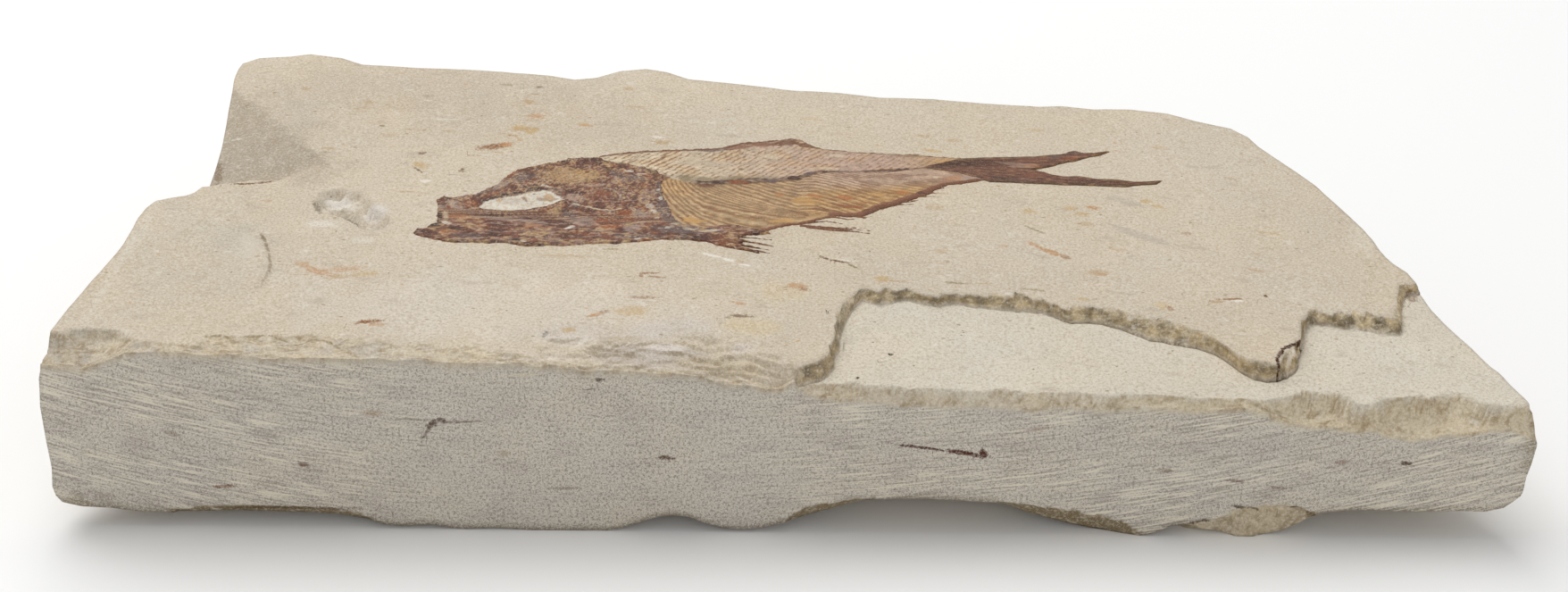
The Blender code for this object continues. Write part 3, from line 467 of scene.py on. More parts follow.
# %% The foot and the ends of the sawn face
def foot_recess(x, z):
    """How far the sawn face stands back where facets broke off its lower edge: evenly more from the
    upper line of a facet to its foot, and a crack just under that line."""
    recess = np.zeros(np.broadcast(x, z).shape)
    foot = foot_height(x)
    for line, back, crack in FOOT_FACETS:
        top = read(line, x) + 0.2 * rough(x, 0, 0, 2.0, 2, 23)
        share = np.clip((top - z) / np.maximum(top - foot, 0.2), 0, 1)
        inside = smooth((x - line[0][0]) / 0.8) * smooth((line[-1][0] - x) / 0.8) * (share > 0)
        opened = crack * np.exp(-((share - 0.16) / 0.1) ** 2) * (0.6 + rough(x, 0, 0, 3.0, 2, 27))
        depth = facet_reach(line, back, x) * share ** 0.8 + inside * np.maximum(opened, 0)
        recess = np.maximum(recess, depth)
    return recess


def end_shift(x, y, z):
    """How far the block's front corners are rounded: the ends of the sawn face, fading out over a
    centimetre to both sides."""
    left = (read(LEFT_END, z) - LEFT_EDGE[0][0]) * smooth(1.0 - (x - LEFT_EDGE[0][0]) / 9.0)
    right = (read(RIGHT_END, z) - RIGHT_EDGE[0][0]) * smooth(1.0 - (RIGHT_EDGE[0][0] - x) / 9.0)
    return (left + right) * smooth(1.0 - y / 12.0)


print("recess at the middle facet", foot_recess(np.array([9.0]), np.array([5.0])), "mm")

# %% Grid of the upper face
def perimeter_points(grid):
    """The values of a grid round its edge: front, right, back and left, once round."""
    return np.concatenate((grid[:, 0], grid[-1, 1:], grid[-2::-1, -1], grid[0, -2:0:-1]))


def crowded(start, end, share):
    """Depths at shares of the way from start to end, with the rows closer together where the pit and
    the scar are: equal steps of y plus 1.7 times the way covered between 32 and 48 mm."""
    fine = np.linspace(0.0, DEPTH, 2000)
    reach = fine + 1.7 * np.clip(fine - 32.0, 0.0, 16.0)
    first, last = np.interp(start, fine, reach), np.interp(end, fine, reach)
    return np.interp(first + (last - first) * share, reach, fine)


def stone_grid():
    """The upper face: columns across and rows back, with rows on the foot and the lip of the step."""
    front = np.concatenate((np.linspace(0, 0.2, 15), np.linspace(0.2, 1, FRONT_ROWS - 13)[1:-1]))
    wall = np.linspace(0, 1, WALL_ROWS + 1)
    back = np.linspace(0, 1, BACK_ROWS + 1)
    far = along(BACK_EDGE, shares)
    flat_end = foot_y - np.minimum(0.3, foot_y * 0.2)
    wall_y = foot_y[:, None] + (lip_y - foot_y)[:, None] * wall[None]
    at_wall = column_x(shares[:, None], wall_y)
    # facets of the broken wall stand in and out, each column and level by its own amount
    dents = 1.5 * np.abs(rough(at_wall, 1.2 * wall[None], 0, 3.4, 2, 19))
    dents = dents + 0.7 * rough(at_wall, 2.0 * wall[None], 0, 1.1, 2, 38)
    facets = dents * (0.55 + 0.9 * wall)[None] * smooth((at_wall - 7.0) / 3.0)
    wall_y = np.maximum(wall_y + facets, flat_end[:, None] + 0.03 * (1 + wall))
    wall_y = np.maximum.accumulate(wall_y + 0.004 * np.arange(WALL_ROWS + 1)[None], axis=1)
    rows = [flat_end[:, None] * front[None], flat_end[:, None], wall_y,
            crowded(wall_y[:, -1:], far[:, 1:], back[None, 1:])]
    y = np.concatenate(rows, axis=1)
    x = column_x(shares[:, None], y)
    # towards the back the columns lean over, to meet the back edge at even shares of its length
    lean = smooth((y - 40.0) / (far[:, 1][:, None] - 40.0))
    x = x + lean * (far[:, 0] - column_x(shares, far[:, 1]))[:, None]
    # where the step runs back, its edge is ragged from side to side instead
    near_step = smooth((x - 2.0) / 2.0) * smooth((11.0 - x) / 2.0)
    near_step = near_step * smooth((y - 2.5) / 2.0) * smooth((24.0 - y) / 3.0)
    x = x + 0.35 * near_step * rough(x, y, 0, 1.9, 3, 29)
    up = np.concatenate((np.zeros(len(front) + 1), wall, np.ones(BACK_ROWS)))
    left_of_step = smooth((1.2 - x) / 0.8) * (y < 6.0) + (x < 0.0)
    up = np.maximum(up[None], np.clip(left_of_step, 0, 1))
    gap = np.zeros(y.shape)
    gap[:, len(front) + 1] = read(UNDERCUT, x[:, len(front) + 1]) * (1 - up[:, len(front) + 1])
    step = np.broadcast_to(smooth((at_wall[:, :1] - 0.6) / 1.0), y.shape)
    return x, y, up, gap, step


print(FRONT_ROWS + WALL_ROWS + BACK_ROWS, "rows over the depth")

# %% [markdown]
# ## Walls from rings
#
# Every point on the edge of the upper face has a column of points under it, so the walls are rings
# that shrink inwards and downwards. A noise that is cut into whole laminae moves each ring, and the
# last rings close the underside.

# %% Rings down the walls
def wall_rings(x, y, z):
    """Rings down the walls and in under the block, from the edge of the upper face."""
    rim = np.stack([perimeter_points(part) for part in (x, y, z)], axis=1)
    count_x, count_y = x.shape[0], x.shape[1]
    kind = np.concatenate((np.zeros(count_x), np.ones(count_y - 1), np.full(count_x - 1, 2),
                           np.full(count_y - 2, 3))).astype(int)
    run = np.roll(rim[:, :2], -12, axis=0) - np.roll(rim[:, :2], 12, axis=0)
    away = np.stack((run[:, 1], -run[:, 0]), axis=1) / np.linalg.norm(run, axis=1)[:, None]
    away[:, 1] *= np.where(kind == 2, 1.0, smooth(rim[:, 1] / 8.0))
    away[kind == 0] = 0.0
    swell = np.choose(kind, (0.0 * rim[:, 1], read(RIGHT_SWELL, rim[:, 1]), BACK_SWELL + 0.0 * rim[:, 1],
                             read(LEFT_SWELL, rim[:, 1])))
    behind = smooth(rim[:, 1] / 12.0) * (kind > 0)
    rings = []
    for level, fallen in enumerate(RING_SHARES):
        w = 1.0 - fallen
        # laminae are counted down from the bedding plane, so that they run level with it
        down = (bedding(rim[:, 0]) - 3.0) * fallen / 1.15 + 0.7 * rough(rim[:, 0], rim[:, 1], 0, 30.0, 2, 24)
        lamina = np.floor(down)
        stand = 0.8 * rough(rim[:, 0] / 9.0, rim[:, 1] / 9.0, lamina * 3.7, 1.0, 2, 25)
        stand = stand + 0.35 * rough(rim[:, 0], rim[:, 1], 4 * level, 2.5, 2, 26)
        stand = stand - np.maximum(stand, 0.0) * np.where(kind == 2, 0.0, 0.6)
        out = (swell + 1.2 * stand * behind) * smooth(fallen * 6.0) - 4.0 * fallen ** 3 * behind
        plan = rim[:, :2] + away * out[:, None]
        plan[:, 0] = np.clip(plan[:, 0], -LENGTH / 2, LENGTH / 2)
        plan[:, 1] = np.clip(plan[:, 1], 0.0, DEPTH)
        foot = underside(plan[:, 0], plan[:, 1])
        height = foot + w * (rim[:, 2] - foot)
        plan[:, 0] += end_shift(plan[:, 0], plan[:, 1], height) * smooth(fallen * 8.0)
        sawn = kind == 0
        plan[sawn, 1] = foot_recess(plan[sawn, 0], height[sawn])
        rings.append(np.column_stack((plan, height)))
    middle = np.array((0.0, DEPTH / 2))
    last = rings[-1][:, :2]
    for share in UNDER_SHARES:
        plan = last + (middle - last) * share
        rings.append(np.column_stack((plan, underside(plan[:, 0], plan[:, 1]))))
    return rings


print(len(RING_SHARES) + len(UNDER_SHARES), "rings from the edge to the middle of the underside")

# %% [markdown]
# ## From arrays to a mesh
#
# One call fills a mesh with whole arrays. The faces of a grid are the four neighbours of each cell,
# and the rings under it reuse the grid's own edge points, so the block has no open seam.

# %% Mesh helpers
def to_metres(points):
    """Millimetres from the sawn face, as metres about the part's origin."""
    return (np.asarray(points, float) - (0.0, DEPTH / 2, 0.0)) * MM


def grid_faces(columns, rows):
    """Four-sided faces of a grid of points that is counted row by row within each column."""
    index = np.arange(columns * rows).reshape(columns, rows)
    return np.stack((index[:-1, :-1], index[1:, :-1], index[1:, 1:], index[:-1, 1:]), axis=-1).reshape(-1, 4)


def new_mesh_object(name, points, quads, triangles=()):
    """An object from an array of points, four-sided faces and three-sided ones, shaded smooth."""
    mesh = bpy.data.meshes.new(name)
    loops = np.concatenate((np.ravel(quads), np.ravel(triangles))).astype(np.int32)
    sizes = np.concatenate((np.full(len(quads), 4), np.full(len(triangles), 3))).astype(np.int32)
    mesh.vertices.add(len(points))
    mesh.vertices.foreach_set("co", to_metres(points).astype(np.float32).ravel())
    mesh.loops.add(len(loops))
    mesh.loops.foreach_set("vertex_index", loops)
    mesh.polygons.add(len(sizes))
    starts = np.concatenate(([0], np.cumsum(sizes)[:-1])).astype(np.int32)
    mesh.polygons.foreach_set("loop_start", starts)
    mesh.polygons.foreach_set("use_smooth", np.ones(len(sizes), bool))
    mesh.update(calc_edges=True)
    mesh.validate()
    thing = bpy.data.objects.new(name, mesh)
    bpy.context.scene.collection.objects.link(thing)
    print(name, len(points), "points", len(quads) * 2 + len(triangles), "triangles")
    return thing


def add_colour(thing, name, colours):
    """A colour for each point, kept on the mesh under a name that a material can read."""
    layer = thing.data.color_attributes.new(name, "FLOAT_COLOR", "POINT")
    filled = np.ones((len(colours), 4), np.float32)
    filled[:, :colours.shape[1]] = colours
    layer.data.foreach_set("color", filled.ravel())


print("faces of a grid of three by three points:", len(grid_faces(3, 3)))

# %% Build the stone
grid_x, grid_y, grid_up, grid_gap, grid_step = stone_grid()
grid_z = upper_height(grid_x, grid_y, grid_up) - 0.3 * grid_gap
rings = wall_rings(grid_x, grid_y, grid_z)
columns, rows = grid_x.shape
top_points = np.stack((grid_x, grid_y, grid_z), axis=-1).reshape(-1, 3)
middle = np.array([[0.0, DEPTH / 2, float(underside(np.array(0.0), np.array(DEPTH / 2)))]])
stone_points = np.concatenate([top_points] + rings + [middle])
around = perimeter_points(np.arange(columns * rows).reshape(columns, rows))
ring_index = [around] + [len(top_points) + k * len(around) + np.arange(len(around))
                         for k in range(len(rings))]
ring_quads = [np.stack((low, np.roll(low, -1), np.roll(high, -1), high), axis=-1)
              for high, low in zip(ring_index, ring_index[1:])]
last = ring_index[-1]
fan = np.stack((np.full(len(last), len(stone_points) - 1), np.roll(last, -1), last), axis=-1)
stone = new_mesh_object("limestone_block", stone_points,
                        np.concatenate([grid_faces(columns, rows)] + ring_quads), fan)

# %% [markdown]
# ## Colours of the stone
#
# The bedding face is a warm beige, fresh breaks are buff, and the sawn face is grey because the saw
# left it dusty. These broad colours are worked out from where a point lies and kept on the mesh as
# one colour per point. A second set of values says which kind of surface a point is on, and a third
# one carries the lie of the saw marks, so that the material can add what is finer than the mesh.

# %% Tones and patches of the stone
def srgb(*values):
    """A colour given in screen values from 0 to 255, as the linear values that a shader takes."""
    values = np.asarray(values, float) / 255.0
    return np.where(values <= 0.04045, values / 12.92, ((values + 0.055) / 1.055) ** 2.4)


# the wall tone is darker than the bed partly as painted shade on the step's wall
STONE = {"bed": srgb(205, 192, 171), "terrace": srgb(214, 205, 188), "wall": srgb(160, 141, 106),
         "chip": srgb(202, 188, 164), "dusty chip": srgb(188, 180, 168), "clean chip": srgb(212, 196, 164),
         # the flake edge tone is painted shade under the edges of the flakes
         # the scarp tone is painted shade under the chipped band's steep back edge
         "scarp": srgb(150, 132, 100), "flake": srgb(214, 199, 170), "flake edge": srgb(146, 122, 84),
         # the riser tone is painted shade on the ledges' risers
         # the tone for the open gap is the painted shadow in the groove under the broken layer
         "riser": srgb(142, 124, 94), "gap shadow": srgb(92, 74, 50), "side": srgb(192, 177, 150),
         "foot facet": srgb(110, 94, 62), "sawn": srgb(203, 195, 182), "foot": srgb(104, 88, 58),
         # the corner facet tone is partly the facet's own grey and partly painted shade, as it slopes away
         "sawn corner": srgb(134, 120, 90), "corner facet": srgb(166, 154, 136),
         "wall start": srgb(150, 130, 98), "paler wall": srgb(198, 184, 158)}
# broad patches of the upper face: place, half sizes, turn, tone and strength
# the first two patches darken the corner facet at the back left, partly as painted shade
PATCHES = [(-80, 62, 9, 14, 0, (176, 164, 148), 0.55), (-72, 52, 7, 5, 20, (172, 158, 140), 0.5),
    (-60, 80, 30, 9, 0, (190, 176, 156), 0.5), (-40, 70, 24, 9, 0, (192, 176, 154), 0.35),
    (-40, 14, 34, 9, 0, (214, 203, 187), 0.6), (-82, 22, 9, 18, 5, (196, 186, 168), 0.6),
    (-92.2, 24, 0.9, 18, -4, (218, 210, 196), 0.4), (-76, 29, 6, 4, 0, (190, 180, 166), 0.4),
    (20, 74, 30, 7, 0, (206, 192, 170), 0.4), (60, 62, 18, 12, -30, (206, 193, 172), 0.4),
    (-65.5, 43.2, 2.6, 2, 0, (226, 220, 210), 0.8), (-59.8, 40, 1.8, 1.6, 0, (220, 212, 204), 0.7),
    # the patch at (-64, 39.8) is painted shade along the pit's steep front left edge
    (-64, 39.8, 3.4, 1.6, -38, (178, 166, 146), 0.8), (-58.5, 35.6, 2.2, 1.3, -30, (196, 186, 176), 0.6),
    (-67, 35, 2.4, 1.1, 10, (224, 216, 204), 0.7), (-60.2, 31, 1.8, 0.8, 0, (222, 214, 202), 0.6),
    (-26, 8, 8, 2.6, 0, (200, 190, 180), 0.6), (-15, 10, 6, 2.4, 0, (206, 196, 186), 0.6),
    (-20, 3, 9, 2.4, 0, (184, 174, 166), 0.7), (-9, 2.4, 6, 1.8, 0, (196, 180, 152), 0.6),
    (-5, 11.2, 4.4, 1.8, 0, (210, 191, 152), 0.6), (-1, 20.4, 3.4, 2.6, 0, (208, 190, 156), 0.5),
    (7.4, 3.6, 2.2, 2.6, 30, (204, 186, 148), 0.6), (14, 7, 8, 1.2, 28, (204, 190, 162), 0.45),
    (-17, 5, 2.6, 1, 0, (224, 214, 206), 0.7), (-29, 5.6, 3, 1.4, 0, (216, 208, 198), 0.6),
    (-11, 4.4, 2.4, 0.9, 0, (182, 172, 162), 0.7), (-22.5, 6.6, 2.4, 1, 0, (186, 172, 148), 0.7),
    (-6.6, 6, 1.8, 0.8, 10, (226, 216, 208), 0.7), (-30, 2, 4, 1, 0, (222, 210, 196), 0.6),
    (-94, 2.2, 4, 1.2, 0, (218, 204, 190), 0.6), (88, 12, 5, 7, -20, (206, 200, 186), 0.5),
    (85, 45, 3, 8, -20, (220, 210, 190), 0.5)]
print(len(STONE), "tones and", len(PATCHES), "patches")

# %% Laying tones over one another
def paint(base, tone, mask):
    """Colours moved towards a tone by a mask from 0 to 1."""
    mask = np.clip(mask, 0.0, 1.0)[..., None]
    return base * (1 - mask) + tone * mask


def layered(colour, tones, layers):
    """Colours moved towards one named tone after another, each by its own mask."""
    for name, mask in layers:
        colour = paint(colour, tones[name], mask)
    return colour


def plain(tone, x):
    """The same tone for every point."""
    return np.broadcast_to(tone, x.shape + (3,)).copy()


def turned(x, y, place_x, place_y, turn):
    """How far points lie along and across a line through a place that is turned by an angle."""
    dx, dy = x - place_x, y - place_y
    c, s = math.cos(math.radians(turn)), math.sin(math.radians(turn))
    return dx * c + dy * s, dy * c - dx * s


def turned_spread(x, y, place_x, place_y, half_x, half_y, turn):
    """How far out a point lies in a turned ellipse: 0 in its middle and 1 on its edge."""
    along_it, across_it = turned(x, y, place_x, place_y, turn)
    return np.hypot(along_it / half_x, across_it / half_y)


print("half way from bed to wall:", paint(STONE["bed"][None], STONE["wall"], np.array([0.5])).round(3))

# %% Colour of every point
def stone_colours():
    """The broad colour of every point of the stone, and its kind: (wall of laminae, sawn, broken)."""
    x, y, z = stone_points.T
    on_top = (np.arange(len(x)) < len(top_points)).astype(float)
    up, gap = np.ones(len(x)), np.zeros(len(x))
    up[:len(top_points)], gap[:len(top_points)] = grid_up.ravel(), grid_gap.ravel()
    terrace, wall = smooth((0.3 - up) / 0.3), np.clip(5.0 * up * (1.0 - up), 0, 1)
    wall[:len(top_points)] *= grid_step.ravel()
    wall *= on_top
    chips = smooth(band(x, y) / 0.3) * on_top
    sawn = (on_top < 1) * (y < 0.05)
    facets = (on_top < 1) * (y >= 0.05) * (y < 3.0) * (z < 6.0) * (np.abs(x) < 97.0)
    colour = plain(STONE["bed"], x)
    ragged = 0.45 * rough(x, y, 0, 5.0, 4, 33)
    for place_x, place_y, half_x, half_y, turn, tone, strength in PATCHES:
        spread = turned_spread(x, y, place_x, place_y, half_x, half_y, turn)
        colour = paint(colour, srgb(*tone), smooth((1.25 + ragged - spread) / 0.7) * strength * on_top)
    patchy = rough(x, 1.5 * y, 0, 4.5, 3, 34)
    dusted = smooth((patchy + 0.15) / 0.3) * smooth((4.0 - x) / 4.0)
    # scarp: painted shade, a dark line just under the steep back edge of the chipped band
    edge = band(x, y) / np.maximum(read(BAND_DOWN, x), 0.1)
    scarp = smooth(edge / 0.04) * smooth((0.5 - edge) / 0.2)
    scarp = scarp * smooth((0.25 + rough(x, y, 0, 2.5, 3, 35)) / 0.3) * on_top
    # flake edges: curved lines where a stretched noise passes through nought, painted dark as the shade
    # under each flake's edge
    flow = rough(0.5 * x, y + 1.5 * z, 0, 2.6, 3, 40)
    hems = smooth((0.10 - np.abs(flow)) / 0.07) + 0.7 * smooth((0.08 - np.abs(flow - 0.26)) / 0.06)
    # risers: where a little further forward more is lost than a little further back; they are painted dark
    # as the shade on each riser
    front, behind = (ledges(x, y + shift) + flakes(x, y + shift) for shift in (-0.25, 0.25))
    lines = smooth((front - behind - 0.06) / 0.2) * up * on_top
    lines = lines * np.clip(0.5 + 0.9 * ragged, 0.1, 0.85)
    above_foot = z - foot_height(x)
    corner = smooth((-88.0 - x) / 8.0) * smooth((4.0 - above_foot) / 3.0) + smooth((x - 97.0) / 2.0)
    stained_corner = corner * np.clip(0.5 + 1.6 * rough(x, z, 0, 3.0, 3, 36), 0, 0.8)
    facet = smooth(corner_facet(x, y) / 0.12) * on_top
    mottled = 0.75 + 0.3 * ragged + 0.5 * rough(x, y, 0, 1.6, 3, 39)
    colour = layered(colour, STONE, [
        # the step's wall is darker partly as painted shade
        ("terrace", terrace * on_top * 0.9), ("wall", wall), ("chip", chips * 0.8),
        ("dusty chip", chips * dusted * 0.65),
        ("clean chip", chips * smooth((x - 30.0) / 30.0) * 0.6),
        ("scarp", scarp * np.where(up > 0.5, 0.45, 0.4)),
        ("flake", chips * smooth((flow - 0.02) / 0.15) * 0.5),
        ("flake edge", chips * np.clip(hems, 0, 1) * 0.7),
        ("riser", lines * (0.45 + 0.55 * smooth((-5.0 - x) / 6.0))),
        # painted shadow in the groove at the foot of the broken layer
        ("gap shadow", gap * np.where(x < 12.0, 0.5, 0.9)),
        ("side", (1 - on_top) * (1 - sawn)),
        ("foot facet", facets * np.where((x > 54) & (x < 72), 0.15, 0.95)),
        ("sawn", sawn),
        ("foot", sawn * smooth((1.1 - above_foot) / 1.0) * 0.8),
        ("sawn corner", sawn * stained_corner),
        # the corner facet: partly its own grey, partly painted shade
        ("corner facet", facet * np.clip(mottled, 0.3, 1.0)),
        # where the wall starts at the front left it is darker, and behind 8 mm it is paler
        ("wall start", wall * smooth((7.0 - y) / 4.0) * (x < 9) * 0.6),
        ("paler wall", wall * smooth((y - 8.0) / 4.0) * (x < 9.5) * 0.7)])
    speckled = 1.0 + 0.95 * rough(x, y, z, 1.5, 3, 37) * wall
    colour = colour * np.clip(speckled, 0.45, 1.5)[:, None]
    broad = 1.0 + 0.045 * rough(x, y, z, 26.0, 3, 30) + 0.03 * rough(x, y, z, 5.0, 3, 31)
    warm = 0.02 * rough(x, y, z, 14.0, 3, 32)
    colour = colour * broad[:, None] * np.column_stack((1 + warm, np.ones_like(warm), 1 - 1.6 * warm))
    broken = np.clip((1 - on_top) * (1 - sawn) + on_top * (wall + 0.35 * chips), 0, 1)
    return colour, np.column_stack(((1 - on_top) * (1 - sawn) * (1 - facets), sawn, broken))


tint, kind = stone_colours()
add_colour(stone, "tint", tint)
add_colour(stone, "kind", kind)
print("kinds of surface, as shares of the points:", kind.mean(axis=0).round(2))

# %% The lie of the saw marks, and all three on the mesh
def saw_lie():
    """Along and across the saw marks, in millimetres: height above a bowed line that falls from the
    left to the middle and rises again, the arc of a large saw blade."""
    x, z = stone_points[:, 0], stone_points[:, 2]
    bow = (x + 25.0) ** 2 / np.where(x < -25.0, 440.0, 760.0)
    return np.column_stack((x, z - bow, np.zeros_like(x)))


add_colour(stone, "saw_lie", saw_lie())
print("colours kept on the stone:", [layer.name for layer in stone.data.color_attributes])

# %% [markdown]
# ## Nodes in few words
#
# A material is a net of nodes. These helpers add one node each, so that a material reads like a short
# sum. All noise in them is read at the object's own coordinates, in millimetres, and stays with the
# stone wherever it is put.

# %% Node helpers
def new_material(name):
    """A material with only its surface shader and its output."""
    material = bpy.data.materials.new(name)
    material.use_nodes = True
    return material, material.node_tree


def put(tree, node_type, inputs, **settings):
    """Adds one node: inputs are values or other nodes' outputs, settings are its own choices."""
    made = tree.nodes.new("ShaderNode" + node_type)
    for name, value in settings.items():
        setattr(made, name, value)
    for key, value in inputs.items():
        if isinstance(value, bpy.types.NodeSocket):
            tree.links.new(value, made.inputs[key])
        else:
            made.inputs[key].default_value = value
    return made


def maths(tree, operation, first, second=0.0, third=0.0):
    """One sum of numbers."""
    return put(tree, "Math", {0: first, 1: second, 2: third}, operation=operation).outputs[0]


def moved(tree, place, factor, shift=(0.0, 0.0, 0.0)):
    """A place times a factor on each axis, plus a shift."""
    return put(tree, "VectorMath", {0: place, 1: factor, 2: shift}, operation="MULTIPLY_ADD").outputs[0]


def noise_at(tree, place, scale, detail=2.0):
    """Noise at a place: scale is how many lumps lie in one millimetre."""
    return put(tree, "TexNoise", {"Vector": place, "Scale": scale, "Detail": detail}).outputs["Fac"]


def step_between(tree, value, low, high, top=1.0):
    """An S-shaped step of a value from low to high, which ends at top."""
    inputs = {"Value": value, "From Min": low, "From Max": high, "To Min": 0.0, "To Max": top}
    return put(tree, "MapRange", inputs, interpolation_type="SMOOTHSTEP").outputs["Result"]


def mixed(tree, share, below, above):
    """Two colours mixed by a share from 0 to 1."""
    return put(tree, "Mix", {0: share, 6: below, 7: above}, data_type="RGBA").outputs[2]


def tone(values):
    """A screen colour as a shader's four values."""
    return tuple(srgb(*values)) + (1.0,)


def veiled(tree, colour, value, low, high, top, values, where=None):
    """A tone laid over a colour as a value goes from low to high: at most by top, times where."""
    share = step_between(tree, value, low, high, top)
    if where is not None:
        share = maths(tree, "MULTIPLY", share, where)
    return mixed(tree, share, colour, tone(values))


def veils(tree, colour, rows):
    """One veil after another over a colour."""
    for row in rows:
        colour = veiled(tree, colour, *row)
    return colour


def kept_colour(tree, name):
    """The colours kept on the mesh under a name."""
    return put(tree, "VertexColor", {}, layer_name=name).outputs["Color"]


def parts_of(tree, colour):
    """The three values of a colour."""
    return put(tree, "SeparateColor", {0: colour}).outputs


def place_in_mm(tree, shift=(0.0, 0.0, 0.0)):
    """The object's own coordinates in millimetres, plus a shift."""
    return moved(tree, put(tree, "TexCoord", {}).outputs["Object"], (1000.0,) * 3, shift)


def stained(tree, colour, fray, patchy, layers):
    """Lays the marks kept on the mesh over a colour: how far out a point lies in its mark, moved by
    the fray noise, says how much of the mark's tone shows, times a patchy noise."""
    for layer in range(layers):
        parts = parts_of(tree, kept_colour(tree, f"mark_{layer}"))
        flat = put(tree, "CombineXYZ", {0: parts[0], 1: parts[1]}).outputs[0]
        spread = put(tree, "VectorMath", {0: flat}, operation="LENGTH").outputs["Value"]
        mask = step_between(tree, maths(tree, "ADD", spread, fray), 1.3, 0.6, parts[2])
        mask = maths(tree, "MULTIPLY", mask, patchy)
        colour = mixed(tree, mask, colour, kept_colour(tree, f"mark_tone_{layer}"))
    return colour


print("a rusty tone for a shader:", tone((142, 96, 60)))
